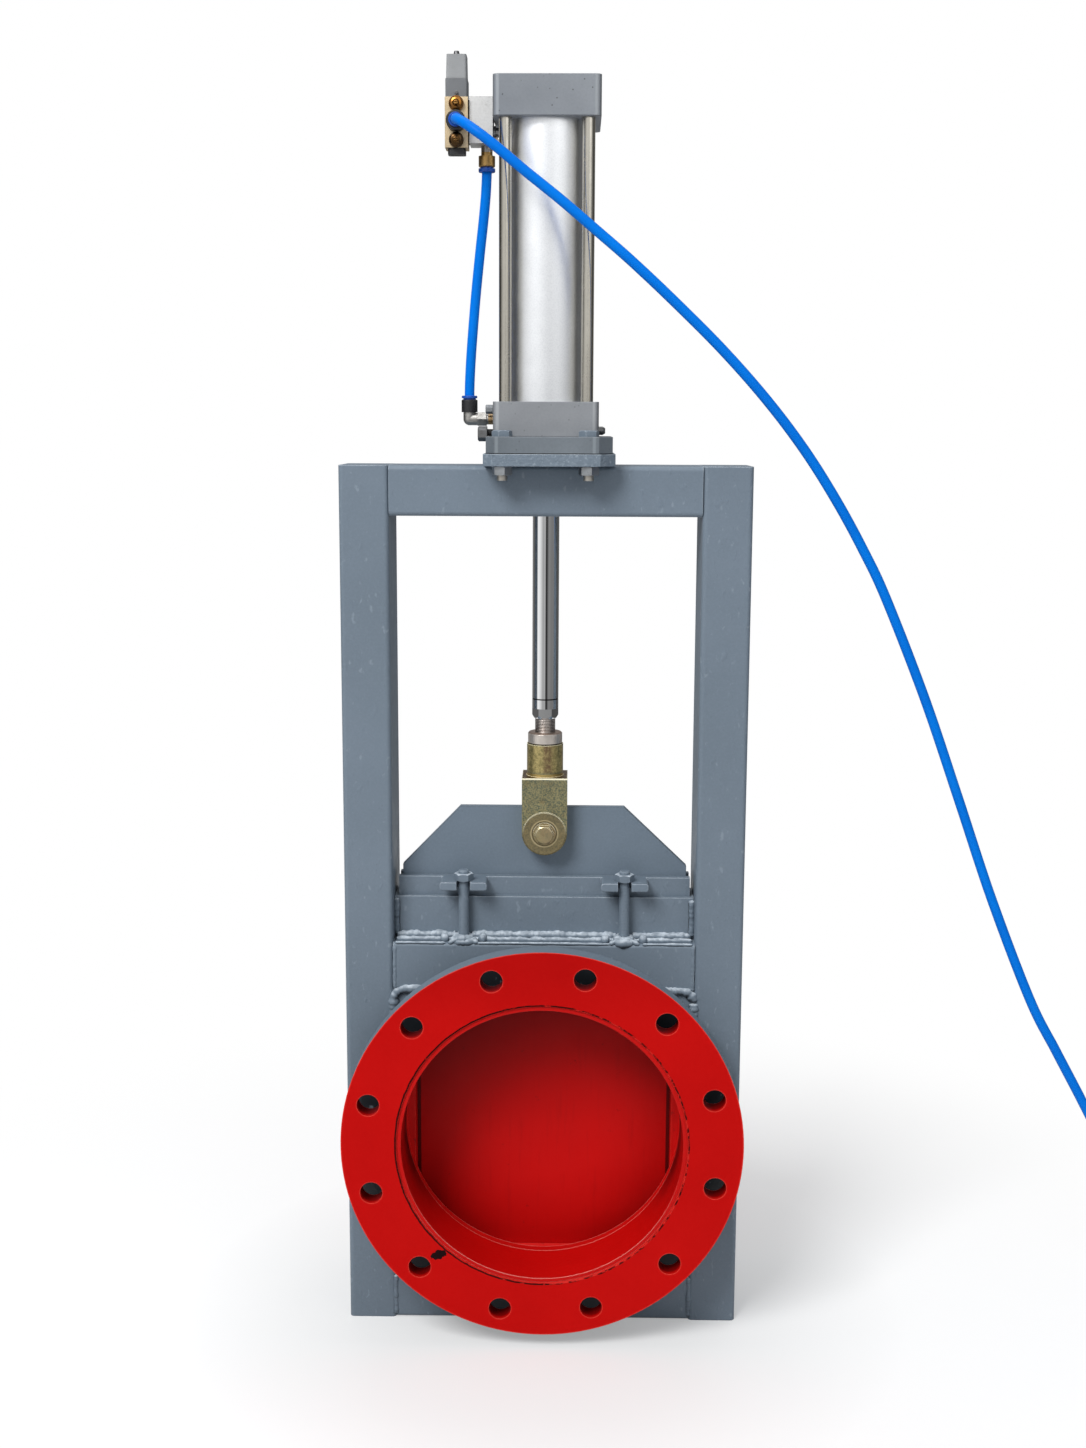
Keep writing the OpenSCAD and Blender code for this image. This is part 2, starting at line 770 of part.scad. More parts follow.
// Hexagon plugs in the sides of the bottom cap and the manifold block
module side_plugs() {
    bolt_z = cap_z + 2.3;
    plug_z = cap_z + 5.6;
    plug_front = 20;
    head_x = cyl_flange_w / 2 - plate_shift + 0.5;
    color(bright_steel) {
        translate([-cap_side / 2, -plug_front, bolt_z]) rotate([0, -90, 0]) {
            cylinder(d = 4.2, h = head_x - cap_side / 2);
            translate([0, 0, head_x - cap_side / 2]) hex_head(12.5, 9);
        }
        translate([cap_side / 2, -plug_front, plug_z]) rotate([0, 90, 0]) {
            cylinder(d = 8, h = 4);
            translate([0, 0, 4]) cylinder(d1 = 8, d2 = 5, h = 2.5);
        }
        translate([block_x, 0, block_z + 10]) rotate([0, 90, 0]) {
            cylinder(d = 17, h = 2);
            translate([0, 0, 2]) hex_head(12, 4);
        }
    }
}

module manifold_block() {
    fit_r = 5;
    color(alloy) translate([block_x - block_w, 0, block_z]) difference() {
        translate([0, block_front, 0]) cube([block_w, block_d, block_h]);
        translate([fit_x - block_x + block_w, 0, -1]) cylinder(r = fit_r, h = 9);
    }
}

// Flat seals on both sides of the manifold block
module gaskets() {
    color(black_plastic) {
        translate([valve_x, block_front + 1, block_z + 1])
            cube([gasket_t, valve_front + valve_d - block_front - 2, block_h - 4]);
        translate([block_x, block_front + 4, top_cap_z + 2])
            cube([1, block_d - 8, block_z + block_h - top_cap_z - 4]);
    }
}

module valve_body() {
    color(alloy) translate([valve_x - valve_w, valve_front, valve_z]) difference() {
        cube([valve_w, valve_d, valve_h]);
        for (i = [-1 : 1])
            translate([valve_w / 2, -1, port_mid_z - valve_z + i * port_pitch]) rotate([-90, 0, 0])
                cylinder(d = port_d, h = 9);
    }
}

module valve_end_cap() {
    cap_d = 16;
    cap_t = 5.5;
    color(black_plastic)
        translate([valve_mid_x, valve_front + 2 + cap_d / 2, valve_z - cap_t]) difference() {
            linear_extrude(cap_t) round_rect(16.5, cap_d, 3);
            translate([0, 0, -tiny]) cube([10, 1.6, 2], center = true);
        }
}

module solenoid_coil() {
    color([0.42, 0.43, 0.45]) translate([valve_mid_x, valve_front + 14, coil_z]) difference() {
        linear_extrude(coil_h) round_rect(20.5, 26, 1.5);
        translate([0, -14, button_up]) rotate([-90, 0, 0]) cylinder(d = 3 + 2 * run, h = 5);
    }
}

// Plug connector, tapered towards its top, with its cable gland on the back
module connector_housing() {
    base_d = 24;
    base_w = 19.2;
    color([0.6, 0.61, 0.62]) translate([valve_mid_x, plug_y, plug_z]) {
        difference() {
            hull() {
                linear_extrude(1) round_rect(base_w, base_d, 2, $fn = 24);
                translate([0, 0.5, plug_h - 1]) linear_extrude(1)
                    round_rect(base_w - 0.8, base_d - 2, 2, $fn = 24);
            }
            translate([0, screw_y - plug_y, plug_h - 6]) cylinder(d = 3.2, h = 8);
        }
        translate([0, base_d / 2 - 2, 9]) rotate([-90, 0, 0]) difference() {
            cylinder(d = 14, h = 14);
            translate([0, 0, 6]) cylinder(d = 7, h = 9);
        }
    }
}

module connector_screw() {
    color(bright_steel) translate([valve_mid_x, screw_y, plug_z + plug_h]) {
        translate([0, 0, -6]) cylinder(d = 3, h = 6);
        difference() {
            cylinder(d1 = 6, d2 = 4.5, h = 3.2);
            translate([0, 0, 3.2]) cube([7, 0.9, 1.6], center = true);
        }
    }
}

// The two exhaust silencers on the valve's front, as turned brass bodies
module silencers() {
    color(brass) for (side = [-1, 1])
        translate([valve_mid_x, valve_front, port_mid_z + side * port_pitch])
            rotate([90, 0, 0]) rotate_extrude() polygon([
                [1.6, -6], [port_d / 2 - run, -6], [port_d / 2 - run, 0], [6.9, 0], [6.9, 3.2],
                [6.3, 3.8], [6.1, 4.8], [5, 6.3], [3.2, 7], [3.2, 4], [1.6, 4]
            ]);
}

// Adjusting needle of a silencer, with a slot in its head
module throttle_screw(side, head) {
    color(brass) translate([valve_mid_x, valve_front, port_mid_z + side * port_pitch])
        rotate([90, 0, 0]) difference() {
            rotate_extrude() polygon([
                [0, -5], [1.5, -4], [1.5, 4.3], [2.9, 4.3], [2.9, 7], [1.6, 7 + head],
                [0, 7 + head]
            ]);
            translate([0, 0, 7 + head]) cube([7, 0.8, 2.4], center = true);
        }
}

module upper_throttle_screw() {
    throttle_screw(1, 2.4);
}

module lower_throttle_screw() {
    throttle_screw(-1, 0.6);
}

// A push-in body on z = 0 that holds the hose and its release ring
module push_in(od, h) {
    bore_r = hose_d / 2 + run;
    rotate_extrude() polygon([
        [0, 0], [od / 2, 0], [od / 2, h - 0.8], [od / 2 - 0.8, h],
        [ring_out + 0.1, h], [ring_out + 0.1, h - cup_depth], [bore_r, h - cup_depth],
        [bore_r, hose_seat], [0, hose_seat]
    ]);
}

// The release ring of a push-in body, which slides down into its cup
module release_ring(h, lip_r, lip_h) {
    foot_z = h - cup_depth + ring_travel + 0.1;
    lip_z = h + ring_travel + 0.1;
    rotate_extrude() polygon([
        [ring_in, foot_z], [ring_out, foot_z], [ring_out, lip_z], [lip_r, lip_z],
        [lip_r, lip_z + lip_h - 0.5], [lip_r - 0.5, lip_z + lip_h], [ring_in, lip_z + lip_h]
    ]);
}

module supply_fitting() {
    color(black_plastic) translate([valve_mid_x, valve_front, port_mid_z]) rotate([90, 0, 0]) {
        push_in(18, supply_h);
        translate([0, 0, -6]) cylinder(d = port_d - 2 * run, h = 6);
    }
}

module supply_release_ring() {
    color(hose_blue) translate([valve_mid_x, valve_front, port_mid_z]) rotate([90, 0, 0])
        release_ring(supply_h, 6.6, 1.8);
}

// Steel nipple and brass push-in body under the manifold block
module upper_fitting() {
    color(brass) translate([fit_x, 0, block_z]) rotate([180, 0, 0]) {
        translate([0, 0, nipple_h]) push_in(upper_af, upper_h);
        cylinder(d = 10.8, h = nipple_h);
        translate([0, 0, -6]) cylinder(d = 9.9, h = 6);
    }
}

module upper_release_ring() {
    color(hose_blue) translate([fit_x, 0, block_z - nipple_h]) rotate([180, 0, 0])
        release_ring(upper_h, 7.9, 3.4);
}

module down_hose() {
    color(hose_blue) sweep(spline(down_path, 3), hose_d / 2, 10);
}

// Elbow at the bottom cap's port: brass ring, hexagon shank and bent body
module elbow_fitting() {
    shank_x = -cap_side / 2;
    color(bright_steel) {
        translate([shank_x + 8, 0, port_z]) rotate([0, -90, 0]) {
            cylinder(d = 12.5, h = 8);
            translate([0, 0, 8]) cylinder(d = 10.4, h = 8);
            translate([0, 0, 16]) rotate([0, 0, 30]) hex_prism(12.9, 8.5);
            translate([0, 0, 24.5]) cylinder(d = 12, h = shank_x + 8 - elbow_x - 24.5);
        }
        translate([elbow_x, 0, port_z]) {
            sphere(d = 12);
            cylinder(d = 12, h = 6.5);
        }
    }
}

module elbow_nut() {
    color(black_plastic) translate([elbow_x, 0, nut_z]) push_in(15.5, lower_h);
}

module lower_release_ring() {
    color(hose_blue) translate([elbow_x, 0, nut_z]) release_ring(lower_h, 7.5, 2.4);
}

module supply_hose() {
    color(hose_blue) sweep(spline(hose_path, 2), hose_d / 2, 10);
}

module hose_coil() {
    pack_w = 2 * hose_d + 0.6;
    color(hose_blue) translate([coil_x, 0, 0]) rotate_extrude()
        translate([coil_r - pack_w / 2, 0]) square([pack_w, coil_layers * hose_d + 0.4]);
}

module gate_blade() {
    bevel_in = gate_bevel / 2;
    color(steel_blue) difference() {
        translate([0, gate_y, 0]) rotate([90, 0, 0]) linear_extrude(gate_t) difference() {
            polygon([
                [-gate_w / 2, gate_bottom], [gate_w / 2, gate_bottom],
                [gate_w / 2, gate_top - gate_chamfer], [gate_w / 2 - gate_cut_right, gate_top],
                [-gate_w / 2 + gate_cut_left, gate_top], [-gate_w / 2, gate_top - gate_chamfer]
            ]);
            translate([0, pin_z]) circle(d = pin_d + 2 * run);
        }
        translate([-gate_w / 2 - 1, gate_y, gate_bottom]) rotate([0, 90, 0])
            linear_extrude(gate_w + 2)
                polygon([[1, -bevel_in - 1 / 2], [1, 1], [-gate_bevel, 1], [-gate_bevel, 0], [0, -bevel_in]]);
    }
}

module clevis() {
    color(zinc_yellow) difference() {
        union() {
            translate([0, clevis_d / 2, 0]) rotate([90, 0, 0]) linear_extrude(clevis_d) {
                translate([0, pin_z]) circle(d = clevis_w);
                translate([-clevis_w / 2, pin_z]) square([clevis_w, clevis_rise]);
            }
            translate([0, clevis_d / 2 + boss_h, pin_z]) rotate([90, 0, 0])
                cylinder(d = boss_d, h = clevis_d + 2 * boss_h);
            translate([0, 0, block_top]) cylinder(d = neck_d, h = neck_h);
        }
        translate([-clevis_w, -fork_gap / 2, pin_z - clevis_w])
            cube([2 * clevis_w, fork_gap, clevis_w + pin_drop + 4]);
        translate([0, clevis_d, pin_z]) rotate([90, 0, 0])
            cylinder(d = pin_d + 2 * run, h = 2 * clevis_d);
        translate([0, 0, neck_top - 28]) cylinder(d = thread_d + 2 * run, h = 29);
    }
}

// The pin bolt through the clevis and the blade, with its washer and nut behind
module clevis_bolt() {
    head_y = clevis_d / 2 + boss_h;
    color(zinc_yellow) {
        translate([0, -head_y, pin_z]) rotate([-90, 0, 0]) {
            translate([0, 0, -1]) cylinder(d = 23, h = 1);
            mirror([0, 0, 1]) translate([0, 0, 1]) hex_head(head_af, head_h);
            cylinder(d = pin_d, h = 2 * head_y + 14);
        }
        translate([0, head_y, pin_z]) rotate([-90, 0, 0]) {
            difference() {
                cylinder(d = 24, h = 2.5);
                translate([0, 0, -1]) cylinder(d = pin_d + 2 * run, h = 5);
            }
            translate([0, 0, 2.5]) hex_nut(head_af, 10, pin_d + 2 * run);
        }
    }
}

module locknut() {
    hole_r = thread_d / 2 + run;
    nut_r = locknut_d / 2;
    color(bright_steel) translate([0, 0, neck_top]) rotate_extrude() polygon([
        [hole_r, 0], [nut_r - 1, 0], [nut_r, 1], [nut_r, locknut_h - 1.2],
        [nut_r - 1.2, locknut_h], [hole_r, locknut_h]
    ]);
}

// Piston rod with its thread, wrench hexagon, groove and piston seat
module piston_rod() {
    flat_h = 10;
    seat_d = 16;
    color(bright_steel) difference() {
        union() {
            translate([0, 0, neck_top - 26]) cylinder(d = thread_d, h = rod_end_z - neck_top + 26);
            translate([0, 0, rod_end_z]) intersection() {
                cylinder(d1 = rod_d - 4, d2 = rod_d + 8, h = flat_h);
                cylinder(d = rod_d, h = flat_h, $fn = 6);
            }
            translate([0, 0, rod_end_z + flat_h])
                cylinder(d = rod_d, h = piston_z - rod_end_z - flat_h);
            translate([0, 0, piston_z]) cylinder(d = seat_d, h = piston_h);
        }
        translate([0, 0, rod_end_z + 19.2]) difference() {
            cylinder(d = rod_d + 2, h = 0.8);
            translate([0, 0, -1]) cylinder(d = rod_d - 0.8, h = 3);
        }
    }
}

// Piston with its two seal rings
module piston() {
    groove_h = 4;
    seal_d = bore_d - 2 * run;
    seat_d = 16;
    color(alloy) translate([0, 0, piston_z]) difference() {
        cylinder(d = bore_d - 1, h = piston_h);
        translate([0, 0, -1]) cylinder(d = seat_d + 2 * run, h = piston_h + 2);
        for (z = [3, piston_h - 3 - groove_h]) translate([0, 0, z]) difference() {
            cylinder(d = bore_d, h = groove_h);
            translate([0, 0, -1]) cylinder(d = bore_d - 8, h = groove_h + 2);
        }
    }
    color(black_plastic) for (z = [3, piston_h - 3 - groove_h])
        translate([0, 0, piston_z + z]) difference() {
            cylinder(d = seal_d, h = groove_h);
            translate([0, 0, -1]) cylinder(d = bore_d - 8, h = groove_h + 2);
        }
}

// Manual override in the front of the coil's base
module override_button() {
    color(brass) translate([valve_mid_x, valve_front - 0.8, coil_z + button_up])
        rotate([-90, 0, 0]) cylinder(d = 3, h = 4);
}

// Cushion needle of the bottom cap, above its port
module cushion_screw() {
    color(bright_steel) translate([-cap_side / 2, -10, cushion_z]) rotate([0, -90, 0]) {
        translate([0, 0, -4.5]) cylinder(d = 5, h = 6);
        translate([0, 0, 1.5]) hex_head(7.5, 7);
    }
}

left_leg();
right_leg();
top_crossbar();
bottom_crossbar();
front_body_beam();
rear_body_beam();
front_cheek_plate();
rear_cheek_plate();
seat_bars();
gate_guides();
front_pipe_stub();
rear_pipe_stub();
front_flange();
rear_flange();
packing_box();
packing_rings();
front_gland();
rear_gland();
gland_studs();
gland_nuts();
frame_welds();
mount_plate();
cylinder_flange();
mount_bolts();
mount_nuts();
bottom_cap();
top_cap();
barrel();
tie_rods();
tie_rod_nuts();
rod_bush();
side_plugs();
manifold_block();
gaskets();
valve_body();
valve_end_cap();
solenoid_coil();
connector_housing();
connector_screw();
silencers();
supply_fitting();
upper_fitting();
down_hose();
elbow_fitting();
elbow_nut();
supply_hose();
hose_coil();
gate_blade();
clevis();
clevis_bolt();
locknut();
piston_rod();
piston();
override_button();
cushion_screw();
upper_throttle_screw();
lower_throttle_screw();
supply_release_ring();
upper_release_ring();
lower_release_ring();
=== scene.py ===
import math
import random

import bpy
from mathutils import Matrix, Vector, noise


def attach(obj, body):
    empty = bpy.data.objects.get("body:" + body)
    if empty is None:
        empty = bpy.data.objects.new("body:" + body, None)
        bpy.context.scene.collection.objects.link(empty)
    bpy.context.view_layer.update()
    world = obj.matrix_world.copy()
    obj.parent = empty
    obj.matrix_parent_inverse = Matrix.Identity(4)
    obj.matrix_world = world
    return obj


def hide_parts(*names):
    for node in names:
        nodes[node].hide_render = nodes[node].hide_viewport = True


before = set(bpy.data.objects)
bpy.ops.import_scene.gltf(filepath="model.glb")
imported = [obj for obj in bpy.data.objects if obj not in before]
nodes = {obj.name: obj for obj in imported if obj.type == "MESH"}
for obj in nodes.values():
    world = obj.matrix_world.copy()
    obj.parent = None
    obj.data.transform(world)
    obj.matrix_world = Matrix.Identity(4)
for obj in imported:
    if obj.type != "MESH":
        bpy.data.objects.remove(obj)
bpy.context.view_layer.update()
scene = bpy.context.scene
COLLECTION = scene.collection


# Camera, fitted to the photograph: angles in degrees, place in metres, focal length in pixels
PITCH, YAW, ROLL = 9.62, -0.91, 0.24
CAMERA_PLACE = (0.0255, -1.7435, 0.91065)
FOCAL_PX = 1775.35
PHOTO_HEIGHT_PX = 1448.0
SENSOR_MM = 36.0


def set_camera():
    pitch, yaw, roll = (math.radians(a) for a in (PITCH, YAW, ROLL))
    fwd = Vector((math.sin(yaw) * math.cos(pitch), math.cos(yaw) * math.cos(pitch), -math.sin(pitch)))
    right = Vector((math.cos(yaw), -math.sin(yaw), 0.0))
    up = right.cross(fwd)
    r = right * math.cos(roll) + up * math.sin(roll)
    u = up * math.cos(roll) - right * math.sin(roll)
    data = bpy.data.cameras.new("camera")
    cam = bpy.data.objects.new("camera", data)
    COLLECTION.objects.link(cam)
    x, y, z = CAMERA_PLACE
    cam.matrix_world = Matrix((
        (r.x, u.x, -fwd.x, x),
        (r.y, u.y, -fwd.y, y),
        (r.z, u.z, -fwd.z, z),
        (0, 0, 0, 1),
    ))
    data.sensor_fit = "AUTO"
    data.sensor_width = SENSOR_MM
    data.lens = FOCAL_PX * SENSOR_MM / PHOTO_HEIGHT_PX
    data.clip_start = 0.05
    data.clip_end = 50.0
    scene.camera = cam


set_camera()


# Colours and node helpers
def lin(r, g, b):
    """An sRGB colour from 0 to 255, as linear values."""
    def one(c):
        c /= 255.0
        return c / 12.92 if c <= 0.04045 else ((c + 0.055) / 1.055) ** 2.4
    return (one(r), one(g), one(b), 1.0)


BEVEL_SAMPLES = 4
# Cosine of the turn of the normal at which a rounded edge counts fully
EDGE_TURN = 0.82


class Tree:
    """Short calls that add nodes to a node tree."""

    def __init__(self, tree):
        self.tree = tree
        self.tree.nodes.clear()
        self.coords = self.add("ShaderNodeTexCoord")

    def add(self, kind, **settings):
        node = self.tree.nodes.new(kind)
        for key, value in settings.items():
            setattr(node, key, value)
        return node

    def put(self, socket, value):
        if isinstance(value, bpy.types.NodeSocket):
            self.tree.links.new(value, socket)
        elif value is not None:
            socket.default_value = value

    def math(self, op, a, b=0.5, c=0.5):
        node = self.add("ShaderNodeMath", operation=op)
        for s, v in zip(node.inputs, (a, b, c)):
            self.put(s, v)
        return node.outputs[0]

    def split(self, vector):
        node = self.add("ShaderNodeSeparateXYZ")
        self.put(node.inputs[0], vector)
        return node.outputs

    def range(self, v, a, b, c=0.0, d=1.0):
        node = self.add("ShaderNodeMapRange")
        for s, x in zip(node.inputs, (v, a, b, c, d)):
            self.put(s, x)
        return node.outputs[0]

    def soft(self, v, a, b, c=0.0, d=1.0):
        node = self.add("ShaderNodeMapRange", interpolation_type="SMOOTHSTEP")
        for s, x in zip(node.inputs, (v, a, b, c, d)):
            self.put(s, x)
        return node.outputs[0]

    def mix(self, f, a, b):
        node = self.add("ShaderNodeMix", data_type="RGBA")
        self.put(node.inputs[0], f)
        self.put(node.inputs[6], a)
        self.put(node.inputs[7], b)
        return node.outputs[2]


class Mat(Tree):
    """A small builder for node materials."""

    def __init__(self, name):
        self.material = bpy.data.materials.new(name)
        self.material.use_nodes = True
        super().__init__(self.material.node_tree)
        out = self.add("ShaderNodeOutputMaterial")
        self.shader = self.add("ShaderNodeBsdfPrincipled")
        self.tree.links.new(self.shader.outputs[0], out.inputs[0])
        self.co = self.coords.outputs["Object"]
        self.normal = None

    def xyz(self):
        return self.split(self.co)

    def facing(self):
        return self.split(self.coords.outputs["Normal"])

    def stretch(self, factors):
        node = self.add("ShaderNodeMapping")
        node.inputs["Scale"].default_value = factors
        self.put(node.inputs["Vector"], self.co)
        return node.outputs[0]

    def noise(self, scale, detail=2.0, rough=0.5, at=None, dist=0.0):
        node = self.add("ShaderNodeTexNoise")
        self.put(node.inputs["Vector"], at or self.co)
        node.inputs["Scale"].default_value = scale
        node.inputs["Detail"].default_value = detail
        node.inputs["Roughness"].default_value = rough
        node.inputs["Distortion"].default_value = dist
        return node.outputs[0]

    def voronoi(self, scale):
        node = self.add("ShaderNodeTexVoronoi")
        self.put(node.inputs["Vector"], self.co)
        node.inputs["Scale"].default_value = scale
        return node.outputs[0]

    def radius(self, cx, cz, z=None):
        """Distance from the point cx, cz in the XZ plane, or in the plane of X and another axis."""
        o = self.xyz()
        dx = self.math("SUBTRACT", o[0], cx)
        dz = self.math("SUBTRACT", z or o[2], cz)
        square = self.math("ADD", self.math("MULTIPLY", dx, dx), self.math("MULTIPLY", dz, dz))
        return self.math("SQRT", square)

    def edge(self, radius):
        """How near the surface is to a convex edge or a corner, 0 to 1."""
        return self.edge_up(radius)[0]

    def edge_up(self, radius):
        """Edge nearness as in edge(), and the upward part of the rounded edge's normal."""
        bevel = self.add("ShaderNodeBevel", samples=BEVEL_SAMPLES)
        bevel.inputs["Radius"].default_value = radius
        geo = self.add("ShaderNodeNewGeometry")
        dot = self.add("ShaderNodeVectorMath", operation="DOT_PRODUCT")
        self.put(dot.inputs[0], bevel.outputs[0])
        self.put(dot.inputs[1], geo.outputs["Normal"])
        return self.range(dot.outputs["Value"], 1.0, EDGE_TURN), self.split(bevel.outputs[0])[2]

    def bevel(self, radius):
        node = self.add("ShaderNodeBevel", samples=BEVEL_SAMPLES)
        node.inputs["Radius"].default_value = radius
        self.normal = node.outputs[0]

    def bump(self, height, strength, distance):
        node = self.add("ShaderNodeBump")
        node.inputs["Strength"].default_value = strength
        node.inputs["Distance"].default_value = distance
        self.put(node.inputs["Height"], height)
        self.put(node.inputs["Normal"], self.normal)
        self.normal = node.outputs[0]

    def done(self, color, rough, metal, specular=None):
        self.put(self.shader.inputs["Base Color"], color)
        self.put(self.shader.inputs["Roughness"], rough)
        self.put(self.shader.inputs["Metallic"], metal)
        if specular is not None:
            self.put(self.shader.inputs["Specular IOR Level"], specular)
        if self.normal is not None:
            self.put(self.shader.inputs["Normal"], self.normal)
        return self.material


# Materials
GREY = lin(114, 127, 140)
GREY_DARK = lin(106, 119, 131)
GREY_LIGHT = lin(142, 155, 168)
RED_DARK = lin(140, 6, 8)
RED_LIGHT = lin(222, 34, 30)

# Places on the object, in metres
PIPE_Z = 0.212
CLEVIS_TOP = 0.5642
PIN_Z = 0.5087
LOCKNUT_FOOT, LOCKNUT_RIM = 0.5976, 0.6062
ROD_THREAD_TOP = 0.6214
ROD_GROOVE_Z = 0.6413
PLATE_JOINT_Z = 0.8829
BOLT_HEAD_Z = 0.8975
THREAD_PITCH = 0.0015
HOSE_BORE_RADIUS = 0.0032
# The ends of the packing box and the glands and the edges of the gate: how far out, and half the band
END_FACE_X, END_FACE_BAND = 0.1445, 0.0041
# Where the shadowed line on each side of the gate's red area begins
GATE_SHADOW_X = 0.1258
# Radii round the pipe's axis: what lies inside the first four is red, the last is the flange's joint
PIPE_RED_RADIUS = 0.1418
CHEEK_RED_RADIUS = 0.1475
GATE_RED_RADIUS = 0.168
FLANGE_RED_RADIUS = 0.1945
FLANGE_JOINT_RADIUS = 0.1440
# The leaf-shaped spot on the flange: its middle, half its length and width, cosine and sine of its tilt
LEAF_X, LEAF_Z = -0.1015, 0.0985
LEAF_LONG, LEAF_WIDE = 0.0092, 0.0052
LEAF_COS, LEAF_SIN = 0.934, 0.358
# Waves of the braid, in radians per metre
BRAID_WAVE = 1400.0


def behind_flanges(k):
    """1 on the faces that lie in the narrow space behind a pipe flange, 0 elsewhere."""
    o = k.xyz()
    near = k.soft(k.radius(0.0, 0.190), 0.202, 0.188)
    deep = k.soft(k.math("ABSOLUTE", o[1]), 0.062, 0.056)
    return k.math("MULTIPLY", near, deep)


def grey_paint(k, shade=True):
    """Grey-blue sprayed paint: soft tone changes, fine grain, and painted shade where little light gets in.
    """
    tone = k.noise(7.0, 3, 0.55)
    fine = k.noise(420.0, 2, 0.6)
    c = k.mix(k.range(tone, 0.3, 0.7), GREY_DARK, GREY)
    c = k.mix(k.range(fine, 0.4, 0.8, 0.0, 0.14), c, GREY_LIGHT)
    speck = k.voronoi(75.0)
    c = k.mix(k.range(speck, 0.03, 0.06, 0.3, 0.0), c, lin(78, 88, 98))
    if shade:
        # Painted shade, nearly black, in the narrow space behind the flanges
        c = k.mix(k.math("MULTIPLY", behind_flanges(k), 0.95), c, lin(8, 8, 10))
        # Painted shade: box ends, gland ends and gate edges are darker, more on the right than the left, and
        # nearly black below the glands' top
        o = k.xyz()
        side = k.math("ABSOLUTE", o[0])
        ends = k.math("MULTIPLY", k.math("GREATER_THAN", k.math("ABSOLUTE", k.facing()[0]), 0.9),
                      k.math("COMPARE", side, END_FACE_X, END_FACE_BAND))
        c = k.mix(k.math("MULTIPLY", ends, k.range(o[0], -0.1, 0.1, 0.48, 0.62)), c, lin(30, 40, 52))
        c = k.mix(k.math("MULTIPLY", ends, k.soft(o[2], 0.468, 0.458, 0.0, 0.95)), c, lin(8, 9, 11))
        # Painted shade on the lowest part, near the floor, patchy and stronger on the left
        low = k.soft(o[2], 0.11, 0.0)
        low = k.math("MULTIPLY", low, k.range(o[0], -0.15, 0.15, 1.0, 0.35))
        c = k.mix(k.math("MULTIPLY", low, k.range(tone, 0.3, 0.7, 0.15, 0.4)), c, lin(70, 76, 84))
    return c


def steel_paint(name, edge=0.0016, bead=False, threads=False, rough=False):
    k = Mat(name)
    c = grey_paint(k)
    if bead:
        # Painted highlight on crests that look up, none behind the flanges; painted shade on the undersides
        up = k.facing()[2]
        crest = k.range(k.noise(130, 3, 0.6), 0.35, 0.62, 0.3, 0.95)
        crest = k.math("MULTIPLY", k.soft(up, 0.2, 0.9), crest)
        crest = k.math("MULTIPLY", crest, k.math("SUBTRACT", 1.0, behind_flanges(k)))
        c = k.mix(crest, c, lin(206, 216, 225))
        c = k.mix(k.soft(up, 0.1, -0.6, 0.0, 0.8), c, lin(46, 52, 60))
        k.bump(k.noise(300, 2, 0.5), 0.25, 0.0005)
    else:
        # Painted highlight on edges that look up, broken up by noise; painted shade on edges that look down
        near, up = k.edge_up(edge)
        pale = k.math("MULTIPLY", near, k.soft(up, -0.3, 0.45))
        pale = k.math("MULTIPLY", pale, k.range(k.noise(60, 3, 0.7), 0.35, 0.6, 0.6, 1.0))
        c = k.mix(pale, c, lin(202, 213, 223))
        c = k.mix(k.math("MULTIPLY", near, k.soft(up, -0.25, -0.6, 0.0, 0.75)), c, lin(48, 54, 62))
        k.bevel(edge * 0.45)
    if rough:
        # Hammered face with pale crests
        k.bump(k.noise(150, 4, 0.7, at=k.stretch((0.7, 1.0, 1.2))), 0.9, 0.0016)
        c = k.mix(k.range(k.noise(260, 4, 0.75), 0.55, 0.72, 0.0, 0.55), c, lin(176, 188, 198))
    # Short pale nibs and scratches in the paint
    fleck = k.noise(170, 2, 0.5, at=k.stretch((1.0, 1.0, 0.6)), dist=0.3)
    c = k.mix(k.range(fleck, 0.66, 0.74, 0.0, 0.3), c, lin(160, 172, 183))
    if threads:
        z = k.xyz()[2]
        wave = k.math("SINE", k.math("MULTIPLY", z, 2 * math.pi / THREAD_PITCH))
        k.bump(wave, 0.35, 0.0004)
    # Nibs and short runs in the paint
    nib = k.noise(125, 2, 0.5, at=k.stretch((1.0, 1.0, 0.55)))
    k.bump(k.range(nib, 0.62, 0.74), 0.35, 0.0008)
    k.bump(k.noise(420, 2, 0.5), 0.08, 0.0004)
    k.bump(k.noise(26, 3, 0.55), 0.1, 0.002)
    return k.done(c, k.range(k.noise(90, 2), 0.3, 0.7, 0.4, 0.52), 0.0, specular=0.35)


def red_colour(k):
    tone = k.noise(7.0, 3, 0.6)
    c = k.mix(k.range(tone, 0.3, 0.7), lin(187, 8, 7), lin(198, 12, 10))
    fine = k.noise(300.0, 2, 0.6)
    c = k.mix(k.range(fine, 0.35, 0.8, 0.0, 0.08), c, RED_LIGHT)
    scratch = k.noise(60, 4, 0.7, at=k.stretch((1.0, 1.0, 9.0)))
    c = k.mix(k.range(scratch, 0.70, 0.80, 0.0, 0.22), c, RED_DARK)
    return c


